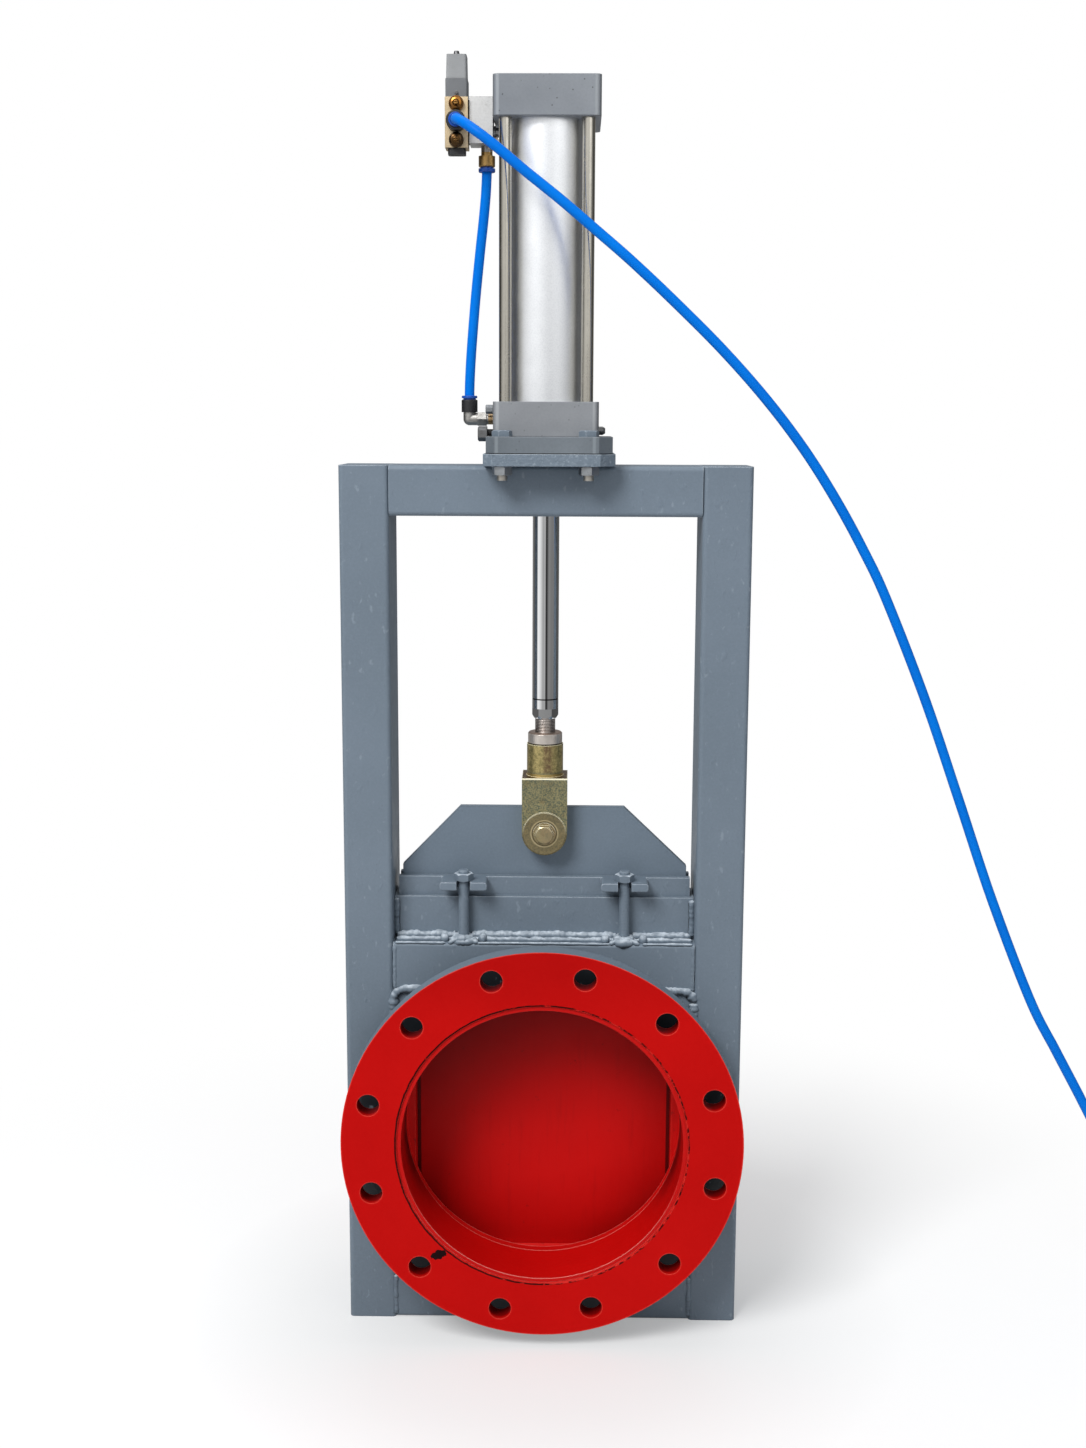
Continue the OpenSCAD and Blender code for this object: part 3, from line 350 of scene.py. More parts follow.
def flange_paint(name):
    """Red on the face, in the bore and the holes; grey-blue on the rim and the back."""
    k = Mat(name)
    o, nn = k.xyz(), k.facing()
    side = k.math("SIGN", o[1])
    out = k.math("MULTIPLY", nn[1], side)
    r = k.radius(0.0, PIPE_Z)
    flat = k.math("GREATER_THAN", out, 0.5)
    inside = k.math("LESS_THAN", r, FLANGE_RED_RADIUS)
    wall = k.math("LESS_THAN", k.math("ABSOLUTE", out), 0.5)
    hole = k.math("MULTIPLY", inside, wall)
    is_red = k.math("MAXIMUM", flat, hole)
    # Painted shade: the red darkens towards the top of the flange
    grey = grey_paint(k)
    red = k.mix(k.soft(o[2], 0.33, 0.4, 0.0, 0.3), red_colour(k), lin(150, 3, 3))
    # Painted highlight: a thin bright line along the rim
    rim = k.soft(r, 0.1960, 0.1972)
    edge_line = k.math("MULTIPLY", rim, k.range(k.noise(120, 3, 0.7), 0.35, 0.65, 0.1, 0.8))
    red = k.mix(edge_line, red, lin(235, 60, 52))
    # Painted shade: the walls of the holes darken with their depth
    deep = k.soft(k.math("ABSOLUTE", o[1]), 0.0985, 0.092, 0.0, 0.75)
    red = k.mix(k.math("MULTIPLY", hole, deep), red, lin(70, 4, 5))
    c = k.mix(is_red, grey, red)
    # Painted highlight on the edges of the red parts, round each hole too
    edge = k.edge(0.0017)
    c = k.mix(k.math("MULTIPLY", edge, k.math("MULTIPLY", is_red, 0.95)), c, lin(240, 82, 70))
    # The leaf-shaped spot of bare dark metal beside a lower hole
    lx = k.math("SUBTRACT", o[0], LEAF_X)
    lz = k.math("SUBTRACT", o[2], LEAF_Z)
    u = k.math("ADD", k.math("MULTIPLY", lx, LEAF_COS), k.math("MULTIPLY", lz, LEAF_SIN))
    v = k.math("SUBTRACT", k.math("MULTIPLY", lz, LEAF_COS), k.math("MULTIPLY", lx, LEAF_SIN))
    leaf = k.math("ADD", k.math("ABSOLUTE", k.math("MULTIPLY", u, 1 / LEAF_LONG)),
                  k.math("POWER", k.math("ABSOLUTE", k.math("MULTIPLY", v, 1 / LEAF_WIDE)), 1.6))
    leaf = k.math("ADD", leaf, k.range(k.noise(300, 2), 0.3, 0.7, -0.25, 0.25))
    leaf = k.math("MULTIPLY", k.math("LESS_THAN", leaf, 1.0), k.math("LESS_THAN", o[1], 0.0))
    c = k.mix(leaf, c, lin(28, 10, 12))
    # The rough joint between flange and pipe
    wob = k.range(k.noise(90, 4, 0.7), 0.2, 0.8, -0.0007, 0.0007)
    ring = k.math("ABSOLUTE", k.math("SUBTRACT", k.math("ADD", r, wob), FLANGE_JOINT_RADIUS))
    left = k.soft(o[0], 0.06, -0.08, 0.0, 0.16)
    crack = k.math("MULTIPLY", k.soft(ring, 0.0011, 0.0004),
                   k.range(k.math("ADD", k.noise(120, 3, 0.75), left), 0.46, 0.56))
    c = k.mix(k.math("MULTIPLY", crack, flat), c, lin(44, 6, 6))
    k.bevel(0.0009)
    k.bump(k.noise(380, 2, 0.5), 0.10, 0.0005)
    k.bump(k.noise(30, 3, 0.5), 0.08, 0.002)
    k.bump(k.math("MULTIPLY", crack, -1.0), 0.5, 0.0006)
    return k.done(c, k.range(k.noise(60, 3), 0.3, 0.7, 0.38, 0.5), 0.0, specular=0.05)


def pipe_paint(name):
    """Red inside, grey-blue outside, with a rough painted highlight along its edges."""
    k = Mat(name)
    o = k.xyz()
    r = k.radius(0.0, PIPE_Z)
    red = red_colour(k)
    depth = k.math("ABSOLUTE", o[1])
    # The flanks of the bore get less light than its floor
    flank = k.math("MULTIPLY", k.soft(k.math("ABSOLUTE", k.facing()[0]), 0.5, 0.98),
                   k.soft(depth, 0.08, 0.045, 0.3, 1.0))
    flank = k.math("MULTIPLY", flank, k.soft(depth, 0.0965, 0.088))
    flank = k.math("MULTIPLY", flank, k.soft(o[2], 0.09, 0.19))
    red = k.mix(flank, red, lin(62, 3, 4))
    # Painted highlight along the edges, broken up by noise
    edge = k.math("MULTIPLY", k.edge(0.0009), k.range(k.noise(170, 3, 0.7), 0.4, 0.65, 0.1, 0.6))
    red = k.mix(edge, red, lin(238, 84, 72))
    # Low down, the edges of the pipe catch the light
    low = k.soft(o[2], 0.19, 0.1, 0.0, 0.9)
    red = k.mix(k.math("MULTIPLY", k.edge(0.0011), low), red, lin(255, 186, 176))
    is_red = k.math("MAXIMUM", k.math("LESS_THAN", r, PIPE_RED_RADIUS), k.math("GREATER_THAN", depth, 0.085))
    c = k.mix(is_red, grey_paint(k), red)
    k.bevel(0.0012)
    k.bump(k.noise(220, 3, 0.6), 0.22, 0.0007)
    k.bump(k.noise(24, 3, 0.5), 0.12, 0.003)
    return k.done(c, k.range(k.noise(50, 3), 0.3, 0.7, 0.3, 0.42), 0.0, specular=0.12)


def gate_paint(name):
    """Grey-blue above, red over the round area that the pipes frame."""
    k = Mat(name)
    o = k.xyz()
    r = k.radius(0.0, PIPE_Z)
    wob = k.range(k.noise(60, 3), 0.2, 0.8, -0.002, 0.002)
    is_red = k.math("LESS_THAN", k.math("ADD", r, wob), GATE_RED_RADIUS)
    red = k.mix(k.range(k.noise(6, 2), 0.35, 0.65), lin(192, 9, 9), lin(204, 12, 11))
    # Painted shadow: darker towards the upper left, and all round towards the pipe
    slant = k.math("SUBTRACT", o[2], k.math("MULTIPLY", o[0], 0.5))
    red = k.mix(k.soft(slant, 0.23, 0.36, 0.0, 0.68), red, lin(84, 5, 6))
    red = k.mix(k.soft(k.radius(0.01, 0.2), 0.05, 0.15, 0.0, 0.4), red, lin(110, 5, 6))
    streak = k.noise(26, 4, 0.65, at=k.stretch((6.0, 1.0, 0.5)))
    red = k.mix(k.range(streak, 0.55, 0.75, 0.0, 0.25), red, RED_DARK)
    dirt = k.noise(70, 4, 0.7)
    red = k.mix(k.range(dirt, 0.68, 0.76, 0.0, 0.5), red, lin(96, 10, 12))
    c = k.mix(is_red, grey_paint(k), red)
    # A shadowed line down each side of the red area
    gap = k.soft(k.math("ABSOLUTE", o[0]), GATE_SHADOW_X, GATE_SHADOW_X + 0.001)
    gap = k.math("MULTIPLY", gap, is_red)
    c = k.mix(k.math("MULTIPLY", gap, 0.85), c, lin(40, 4, 5))
    # Darker edges on the grey part
    edge_line = k.math("MULTIPLY", k.edge(0.0012), k.math("SUBTRACT", 0.5, k.math("MULTIPLY", is_red, 0.5)))
    c = k.mix(edge_line, c, lin(60, 68, 76))
    k.bevel(0.0008)
    k.bump(k.noise(300, 2, 0.5), 0.12, 0.0005)
    k.bump(k.noise(18, 3, 0.55, at=k.stretch((2.0, 1.0, 0.6))), 0.15, 0.003)
    return k.done(c, k.range(k.noise(50, 3), 0.3, 0.7, 0.4, 0.5), 0.0, specular=0.1)


def cheek_paint(name):
    """Grey-blue plate, red on the wall of its round opening."""
    k = Mat(name)
    is_red = k.math("LESS_THAN", k.radius(0.0, PIPE_Z), CHEEK_RED_RADIUS)
    # Painted highlight: the inner edge of the opening is a bright rough line, paler low down
    rough = k.range(k.noise(140, 3, 0.7), 0.35, 0.6, 0.35, 1.0)
    red = k.mix(k.math("MULTIPLY", k.edge(0.0022), rough), red_colour(k), lin(244, 110, 96))
    low = k.soft(k.xyz()[2], 0.2, 0.1, 0.0, 0.85)
    red = k.mix(k.math("MULTIPLY", k.edge(0.0016), low), red, lin(255, 190, 180))
    c = k.mix(is_red, grey_paint(k), red)
    k.bevel(0.0006)
    k.bump(k.noise(125, 2, 0.5), 0.2, 0.0006)
    return k.done(c, 0.46, 0.0, specular=0.2)


def seat_paint(name):
    k = Mat(name)
    c = red_colour(k)
    # Painted light: faces that look up are paler, and so are the edges
    c = k.mix(k.math("MULTIPLY", k.math("GREATER_THAN", k.facing()[2], 0.5), 0.6), c, lin(232, 50, 46))
    c = k.mix(k.math("MULTIPLY", k.edge(0.0015), 0.6), c, lin(230, 60, 50))
    c = k.mix(k.range(k.noise(80, 4, 0.7), 0.6, 0.75, 0.0, 0.8), c, lin(60, 8, 10))
    k.bevel(0.001)
    k.bump(k.noise(250, 3, 0.6), 0.25, 0.0007)
    return k.done(c, 0.45, 0.0, specular=0.15)


def cap_paint(name, specks, base):
    """Cast alloy under clear paint, with dark specks where asked for."""
    k = Mat(name)
    tone = k.noise(14.0, 3, 0.6)
    r, g, b = base
    c = k.mix(k.range(tone, 0.3, 0.7), lin(r - 9, g - 9, b - 9), lin(r + 6, g + 6, b + 6))
    fine = k.noise(420.0, 2, 0.6)
    c = k.mix(k.range(fine, 0.4, 0.8, 0.0, 0.2), c, lin(r - 30, g - 30, b - 28))
    spots = k.voronoi(140.0)
    c = k.mix(k.range(spots, 0.07, 0.12, 0.75 if specks else 0.35, 0.0), c, lin(56, 58, 62))
    # Painted highlight: the rounded upright corners take a paler band
    o = k.xyz()
    corner = k.math("MINIMUM", k.math("ABSOLUTE", o[0]), k.math("ABSOLUTE", o[1]))
    band = k.math("MULTIPLY", k.soft(corner, 0.0435, 0.0448), k.soft(corner, 0.0478, 0.0462))
    c = k.mix(k.math("MULTIPLY", band, 0.5), c, lin(r + 36, g + 36, b + 34))
    # Painted shade where the rounded corners turn away from the front
    dark = k.soft(k.facing()[1], -0.75, -0.5)
    c = k.mix(k.math("MULTIPLY", k.math("MULTIPLY", dark, k.soft(corner, 0.0435, 0.0448)), 0.5), c,
              lin(r // 2, g // 2, b // 2))
    # Painted shade: the joint under the cylinder's plate is a dark line
    c = k.mix(k.math("LESS_THAN", o[2], PLATE_JOINT_Z), c, lin(24, 27, 30))
    # Painted highlight on edges that look up, painted shade on edges that look down
    near, up = k.edge_up(0.0013)
    c = k.mix(k.math("MULTIPLY", near, k.soft(up, -0.1, 0.5, 0.0, 0.5)), c, lin(182, 187, 192))
    c = k.mix(k.math("MULTIPLY", near, k.soft(up, -0.25, -0.6, 0.0, 0.6)), c, lin(58, 61, 65))
    k.bevel(0.0012)
    k.bump(k.noise(520, 2, 0.6), 0.18, 0.0005)
    k.bump(k.noise(60, 3, 0.6), 0.12, 0.0015)
    return k.done(c, 0.46, 0.0)


def metal(name, base, rough, dark=None, edge=None, grain=300.0, bump=0.08, tone=0.15):
    """Plain metal; dark is the colour of its stains, edge the colour it takes on its edges."""
    k = Mat(name)
    c = k.mix(k.range(k.noise(40, 3, 0.6), 0.3, 0.7), lin(*[int(v * (1 - tone)) for v in base]), lin(*base))
    if dark:
        c = k.mix(k.range(k.noise(150, 4, 0.7), 0.58, 0.75, 0.0, 0.7), c, lin(*dark))
    if edge:
        c = k.mix(k.math("MULTIPLY", k.edge(0.0009), 0.6), c, lin(*edge))
    k.bevel(0.0005)
    rr = k.range(k.noise(grain, 2, 0.5), 0.3, 0.7, rough * 0.8, min(1.0, rough * 1.25))
    k.bump(k.noise(grain, 2, 0.5), bump, 0.0003)
    return k.done(c, rr, 1.0)


def barrel_metal(name):
    k = Mat(name)
    tone = k.noise(8, 3, 0.5, at=k.stretch((1, 1, 0.25)))
    c = k.mix(k.range(tone, 0.3, 0.7), lin(234, 236, 239), lin(242, 244, 246))
    c = k.mix(k.range(k.noise(900, 1, 0.5), 0.4, 0.75, 0.0, 0.2), c, lin(176, 180, 186))
    k.bump(k.noise(700, 2, 0.6), 0.08, 0.0003)
    k.bump(k.noise(45, 2, 0.5), 0.02, 0.001)
    return k.done(c, k.range(k.noise(60, 3), 0.3, 0.7, 0.34, 0.40), 1.0)


def chrome_metal(name, base, rough):
    k = Mat(name)
    c = k.mix(k.range(k.noise(12, 2), 0.3, 0.7), lin(*[v - 12 for v in base]), lin(*base))
    k.bump(k.noise(60, 2, 0.5, at=k.stretch((1, 1, 0.06))), 0.02, 0.0006)
    return k.done(c, k.range(k.noise(80, 3), 0.3, 0.7, rough * 0.7, rough * 1.4), 1.0)


def rod_metal(name):
    """Chromed rod with a bare turned thread at its lower end."""
    k = Mat(name)
    z = k.xyz()[2]
    is_thread = k.math("LESS_THAN", z, ROD_THREAD_TOP)
    wave = k.math("SINE", k.math("MULTIPLY", z, 2 * math.pi / THREAD_PITCH))
    bare = k.mix(k.range(wave, -0.4, 0.8), lin(106, 100, 96), lin(196, 188, 182))
    bare = k.mix(k.range(k.noise(120, 3, 0.7), 0.5, 0.75, 0.0, 0.6), bare, lin(74, 64, 58))
    c = k.mix(k.range(k.noise(12, 2), 0.3, 0.7), lin(234, 235, 236), lin(246, 247, 248))
    groove = k.math("COMPARE", z, ROD_GROOVE_Z, 0.0007)
    c = k.mix(k.math("MULTIPLY", groove, 0.9), c, lin(30, 29, 28))
    c = k.mix(is_thread, c, bare)
    k.bump(k.math("MULTIPLY", wave, is_thread), 0.4, 0.0004)
    k.bump(k.noise(60, 2, 0.5, at=k.stretch((1, 1, 0.06))), 0.02, 0.0006)
    fine = k.range(k.noise(80, 3), 0.3, 0.7, 0.028, 0.056)
    return k.done(c, k.math("MAXIMUM", fine, k.math("MULTIPLY", is_thread, 0.42)), 1.0)


def two_metals(name, axis, a, b, first, second, rough=0.34):
    """One metal where the axis lies between a and b, another elsewhere."""
    k = Mat(name)
    v = k.xyz()[axis]
    inside = k.math("MULTIPLY", k.math("GREATER_THAN", v, a), k.math("LESS_THAN", v, b))
    c = k.mix(inside, lin(*second), lin(*first))
    c = k.mix(k.range(k.noise(150, 4, 0.7), 0.5, 0.75, 0.0, 0.6), c, lin(74, 68, 60))
    k.bevel(0.0005)
    k.bump(k.noise(300, 2, 0.5), 0.08, 0.0003)
    return k.done(c, k.range(k.noise(200, 2), 0.3, 0.7, rough * 0.8, rough * 1.2), 1.0)


def locknut_metal(name):
    """Pale nickel with a browned top rim and a dark joint below."""
    k = Mat(name)
    z = k.xyz()[2]
    c = k.mix(k.range(k.noise(60, 3, 0.6), 0.3, 0.7), lin(206, 198, 190), lin(226, 218, 210))
    c = k.mix(k.soft(z, LOCKNUT_RIM, LOCKNUT_RIM + 0.001, 0.0, 0.7), c, lin(132, 98, 76))
    c = k.mix(k.soft(z, LOCKNUT_FOOT, LOCKNUT_FOOT - 0.0006, 0.0, 0.9), c, lin(20, 19, 18))
    k.bevel(0.0004)
    k.bump(k.noise(300, 2, 0.5), 0.05, 0.0003)
    return k.done(c, k.range(k.noise(200, 2), 0.3, 0.7, 0.32, 0.42), 0.9)


def bolt_paint(name):
    """Mounting bolts: heads sprayed with the frame, bare zinc below the plate."""
    k = Mat(name)
    head = k.math("GREATER_THAN", k.xyz()[2], BOLT_HEAD_Z)
    c = k.mix(head, lin(176, 172, 164), grey_paint(k, False))
    c = k.mix(k.math("MULTIPLY", k.edge(0.0009), 0.6), c, lin(196, 204, 212))
    k.bevel(0.0006)
    k.bump(k.noise(300, 2, 0.5), 0.15, 0.0004)
    return k.done(c, 0.4, k.math("SUBTRACT", 1.0, head))


def yellow_zinc(name, bolt=False):
    """Passivated zinc: olive with green speckle, browner and scratched on the neck; painted light and shade
    on the edges.
    """
    k = Mat(name)
    a = k.noise(34, 4, 0.65, dist=0.6)
    c = k.mix(k.range(a, 0.35, 0.65), lin(148, 142, 108), lin(176, 166, 122))
    if bolt:
        c = k.mix(k.range(k.noise(50, 3, 0.6), 0.4, 0.7, 0.3, 0.8), c, lin(176, 150, 116))
    speck = k.range(k.noise(600, 3, 0.75), 0.42, 0.62, 0.0, 0.3 if bolt else 0.85)
    c = k.mix(speck, c, lin(82, 98, 90))
    c = k.mix(k.range(k.noise(90, 3, 0.7), 0.55, 0.72, 0.0, 0.5), c, lin(146, 122, 82))
    if not bolt:
        x, y, z = k.xyz()
        neck = k.soft(z, CLEVIS_TOP + 0.002, CLEVIS_TOP + 0.006)
        mid = k.math("MULTIPLY", k.soft(x, -0.004, 0.001), k.soft(x, 0.010, 0.005))
        brown = k.mix(k.range(k.noise(380, 4, 0.75), 0.4, 0.62), lin(202, 184, 126), lin(140, 130, 86))
        brown = k.mix(k.math("MULTIPLY", mid, k.range(k.noise(260, 4, 0.7), 0.35, 0.6, 0.3, 0.95)), brown,
                      lin(126, 102, 78))
        c = k.mix(neck, c, brown)
        # The round boss is browner than the cheeks
        boss = k.math("GREATER_THAN", k.math("ABSOLUTE", y), 0.0222)
        c = k.mix(k.math("MULTIPLY", boss, 0.55), c, lin(134, 116, 84))
        # A dark line and a pale ring round the bolt's head
        front = k.math("GREATER_THAN", k.math("ABSOLUTE", k.facing()[1]), 0.9)
        ring = k.radius(0.0, PIN_Z)
        c = k.mix(k.math("MULTIPLY", front, k.soft(ring, 0.0126, 0.0114, 0.0, 0.8)), c, lin(58, 42, 32))
        pale_ring = k.math("MULTIPLY", k.math("COMPARE", ring, 0.0134, 0.0006), 0.6)
        c = k.mix(k.math("MULTIPLY", front, pale_ring), c, lin(222, 204, 160))
        rim = k.math("COMPARE", z, CLEVIS_TOP + 0.0012, 0.0016)
        c = k.mix(k.math("MULTIPLY", rim, 0.75), c, lin(214, 186, 112))
        # The flat shoulder round the neck is brown; its front and back edges take a nearly white painted
        # highlight
        flat = k.math("MULTIPLY", k.math("GREATER_THAN", k.facing()[2], 0.8),
                      k.math("COMPARE", z, CLEVIS_TOP, 0.0006))
        shoulder = k.soft(k.radius(0.0, 0.0, z=y), 0.0185, 0.0195, 0.0, 0.9)
        c = k.mix(k.math("MULTIPLY", flat, shoulder), c, lin(84, 62, 44))
    # Painted highlight on edges that look up, painted shade on edges that look down
    near, up = k.edge_up(0.0013)
    pale = k.math("MULTIPLY", near, k.soft(up, -0.1, 0.35))
    if not bolt:
        line = k.math("MULTIPLY", k.math("COMPARE", z, CLEVIS_TOP - 0.0008, 0.0008), front)
        pale = k.math("MAXIMUM", pale, line)
    c = k.mix(k.math("MULTIPLY", near, k.soft(up, 0.1, -0.2, 0.0, 0.8)), c, lin(82, 56, 38))
    c = k.mix(pale, c, lin(250, 244, 214))
    k.bevel(0.0004)
    k.bump(k.noise(420, 3, 0.6), 0.2, 0.0004)
    shine = k.math("SUBTRACT", 0.85, k.math("MULTIPLY", pale, 0.85))
    return k.done(c, k.range(k.noise(160, 3), 0.3, 0.7, 0.3, 0.46), shine)


def plastic(name, base, rough, bump=0.15, edge=None):
    k = Mat(name)
    c = k.mix(k.range(k.noise(30, 3, 0.6), 0.3, 0.7), lin(*[int(v * 0.85) for v in base]), lin(*base))
    if edge:
        c = k.mix(k.math("MULTIPLY", k.edge(0.0008), 0.5), c, lin(*edge))
    k.bevel(0.0005)
    k.bump(k.noise(600.0, 2, 0.5), bump, 0.0003)
    return k.done(c, k.range(k.noise(120, 2), 0.3, 0.7, rough * 0.85, rough * 1.15), 0.0)


def hose_plastic(name, cut=None):
    """Blue tube; cut is the middle of its square-cut end, where painted shade stands for the open bore."""
    k = Mat(name)
    c = k.mix(k.range(k.noise(18, 2, 0.5), 0.3, 0.7), lin(0, 112, 219), lin(0, 122, 229))
    if cut:
        gap = k.add("ShaderNodeVectorMath", operation="DISTANCE")
        k.put(gap.inputs[0], k.co)
        gap.inputs[1].default_value = cut
        # Painted shade for the inside of the hose
        c = k.mix(k.math("LESS_THAN", gap.outputs["Value"], HOSE_BORE_RADIUS), c, lin(4, 12, 30))
    k.bump(k.noise(90, 2, 0.5), 0.05, 0.0006)
    return k.done(c, k.range(k.noise(70, 2), 0.3, 0.7, 0.32, 0.42), 0.0, specular=0.07)


def braid(name):
    k = Mat(name)
    w = k.math("SINE", k.math("MULTIPLY", k.math("ADD", k.xyz()[0], k.xyz()[2]), BRAID_WAVE))
    c = k.mix(k.range(w, -0.6, 0.6), lin(50, 48, 44), lin(84, 80, 72))
    k.bump(w, 0.5, 0.0006)
    return k.done(c, 0.75, 0.0)


MATERIALS = {
    "frame": steel_paint("frame_paint"),
    "weld": steel_paint("weld_paint", edge=0.0022, bead=True),
    "stud": steel_paint("stud_paint", edge=0.0008, threads=True),
    "flange": flange_paint("flange_paint"),
    "pipe": pipe_paint("pipe_paint"),
    "gate": gate_paint("gate_paint"),
    "seat": seat_paint("seat_paint"),
    "cheek": cheek_paint("cheek_paint"),
    "top_cap": cap_paint("top_cap_paint", True, (132, 137, 143)),
    "low_cap": cap_paint("low_cap_paint", False, (143, 146, 150)),
    "plate": cap_paint("plate_paint", False, (109, 117, 124)),
    "barrel": barrel_metal("barrel_satin"),
    "tie_rod": chrome_metal("tie_rod_steel", (192, 188, 178), 0.2),
    "rod": rod_metal("rod_chrome"),
    "bolt": bolt_paint("mount_bolt_paint"),
    "nickel": metal("nickel", (222, 214, 206), 0.34, tone=0.05),
    "locknut": locknut_metal("locknut_nickel"),
    "dark_steel": metal("dark_steel", (112, 112, 114), 0.45, dark=(60, 58, 56), edge=(150, 150, 150)),
    "plug_steel": two_metals("plug_steel", 2, 0.8, 1.0, (120, 121, 122), (176, 176, 176), 0.4),
    "valve_alloy": metal("valve_alloy", (216, 196, 162), 0.5, dark=(156, 134, 104), grain=500.0, bump=0.15),
    "mount": steel_paint("mount_plate_paint", rough=True),
    "elbow": two_metals("elbow_metal", 0, -0.0562, -0.0500, (184, 156, 118), (170, 168, 164), 0.42),
    "upper": two_metals("upper_fitting_metal", 2, 1.1625, 1.3, (160, 158, 156), (172, 138, 84)),
    "zinc": metal("zinc_steel", (156, 160, 164), 0.42, dark=(100, 98, 96), edge=(196, 198, 200)),
    "alloy": metal("block_alloy", (208, 208, 207), 0.55, dark=(176, 176, 174), edge=(140, 140, 138),
                   grain=500.0, bump=0.2, tone=0.06),
    "brass": metal("screw_brass", (156, 108, 54), 0.34, dark=(56, 34, 16), edge=(214, 176, 104)),
    "brass_low": metal("screw_brass_dark", (96, 68, 40), 0.4, dark=(40, 26, 14), edge=(190, 150, 90)),
    "silencer": two_metals("silencer_pair", 2, 1.1865, 1.3, (164, 112, 52), (84, 62, 38)),
    "bronze": metal("bush_bronze", (150, 112, 66), 0.4, dark=(90, 60, 34)),
    "yellow": yellow_zinc("yellow_zinc"),
    "yellow_bolt": yellow_zinc("yellow_zinc_bolt", True),
    "black": plastic("black_plastic", (30, 30, 33), 0.42, edge=(80, 80, 84)),
    "coil": plastic("coil_plastic", (120, 123, 126), 0.6, bump=0.3, edge=(90, 92, 95)),
    "plug": plastic("plug_plastic", (158, 160, 162), 0.6, bump=0.3, edge=(110, 112, 115)),
    "ring": plastic("ring_plastic", (6, 78, 176), 0.35, bump=0.05),
    "rubber": plastic("seal_rubber", (12, 12, 13), 0.7),
    "guide": plastic("guide_plastic", (44, 44, 46), 0.6),
    "hose": hose_plastic("hose_blue"),
    "braid": braid("packing_braid"),
}

LOOK = {
    "left_leg": "frame", "right_leg": "frame", "top_crossbar": "frame", "bottom_crossbar": "frame",
    "front_body_beam": "frame", "rear_body_beam": "frame", "front_cheek_plate": "cheek",
    "rear_cheek_plate": "cheek", "seat_bars": "seat", "gate_guides": "guide",
    "front_pipe_stub": "pipe", "rear_pipe_stub": "pipe", "front_flange": "flange",
    "rear_flange": "flange", "packing_box": "frame", "packing_rings": "braid",
    "front_gland": "frame", "rear_gland": "frame", "gland_studs": "stud", "gland_nuts": "weld",
    "frame_welds": "weld", "mount_plate": "mount", "cylinder_flange": "plate",
    "mount_bolts": "bolt", "mount_nuts": "zinc", "bottom_cap": "low_cap", "top_cap": "top_cap",
    "barrel": "barrel", "tie_rods": "tie_rod", "tie_rod_nuts": "zinc", "rod_bush": "bronze",
    "side_plugs": "plug_steel", "manifold_block": "alloy", "gaskets": "rubber", "valve_body": "valve_alloy",
    "valve_end_cap": "black", "solenoid_coil": "coil", "connector_housing": "plug",
    "connector_screw": "dark_steel", "silencers": "silencer", "supply_fitting": "black",
    "upper_fitting": "upper", "down_hose": "hose", "elbow_fitting": "elbow", "elbow_nut": "black",
    "supply_hose": "hose", "hose_coil": "hose", "gate_blade": "gate", "clevis": "yellow",
    "clevis_bolt": "yellow_bolt", "locknut": "locknut", "piston_rod": "rod", "piston": "alloy",
    "override_button": "dark_steel", "cushion_screw": "zinc", "upper_throttle_screw": "brass",
    "lower_throttle_screw": "brass_low", "supply_release_ring": "ring", "upper_release_ring": "ring",
    "lower_release_ring": "ring",
}
for name, o in nodes.items():
    o.data.materials.clear()
    o.data.materials.append(MATERIALS[LOOK[name]])


# Shapes in code
def mm(points):
    """Points given in millimetres, as vectors in metres."""
    return [Vector(p) / 1000.0 for p in points]


def smooth_line(points, step):
    """Points on a smooth line through the given ones, about one step apart."""
    out = []
    for i in range(len(points) - 1):
        a, b = points[max(i - 1, 0)], points[i]
        c, d = points[i + 1], points[min(i + 2, len(points) - 1)]
        n = max(2, int((c - b).length / step))
        for j in range(n):
            t = j / n
            out.append(0.5 * (2 * b + (c - a) * t + (2 * a - 5 * b + 4 * c - d) * t * t
                              + (3 * b - a - 3 * c + d) * t ** 3))
    out.append(points[-1])
    return out


def curve_piece(name, points, diameter, material):
    data = bpy.data.curves.new(name, "CURVE")
    data.dimensions = "3D"
    line = data.splines.new("POLY")
    line.points.add(len(points) - 1)
    for p, q in zip(line.points, points):
        p.co = (*q, 1.0)
    data.bevel_depth = diameter / 2
    data.bevel_resolution = 5
    data.use_fill_caps = True
    data.materials.append(material)
    o = bpy.data.objects.new(name, data)
    COLLECTION.objects.link(o)
    return o


def mesh_piece(name, verts, faces, material, smooth=True):
    data = bpy.data.meshes.new(name)
    data.from_pydata([tuple(v) for v in verts], [], faces)
    data.update()
    if smooth:
        data.shade_smooth()
    data.materials.append(material)
    o = bpy.data.objects.new(name, data)
    COLLECTION.objects.link(o)
    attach(o, "valve")
    return o


# The air hoses
HOSE_D = 0.0095
route = mm([
    (-84.75, -26, 1186.5), (-84.75, -38, 1186.5), (-83.6, -50.4, 1185.2), (-80.4, -60, 1182.8),
    (-75.4, -68.3, 1179), (-68.8, -74.6, 1174), (-61, -78.6, 1168.2), (-52.8, -80, 1162),
    (-40, -81.5, 1152), (-18, -83, 1134), (14, -84.5, 1109), (46, -85, 1082.5), (77, -85.5, 1056.5),
    (116, -85, 1021.3), (162, -83.5, 977.3), (204, -81, 932), (240, -78, 887), (271, -75, 841),
    (298, -72, 795), (322, -70, 748), (363, -66, 652), (400, -62, 554), (437, -60, 454),
    (479, -60, 353), (507, -60, 301), (534, -60, 252), (558, -60, 206), (579, -60, 158),
    (595, -60, 113), (608, -60, 74), (621, -61, 40), (638, -62, 16), (660, -63, 6.5), (690, -63, 5),
])


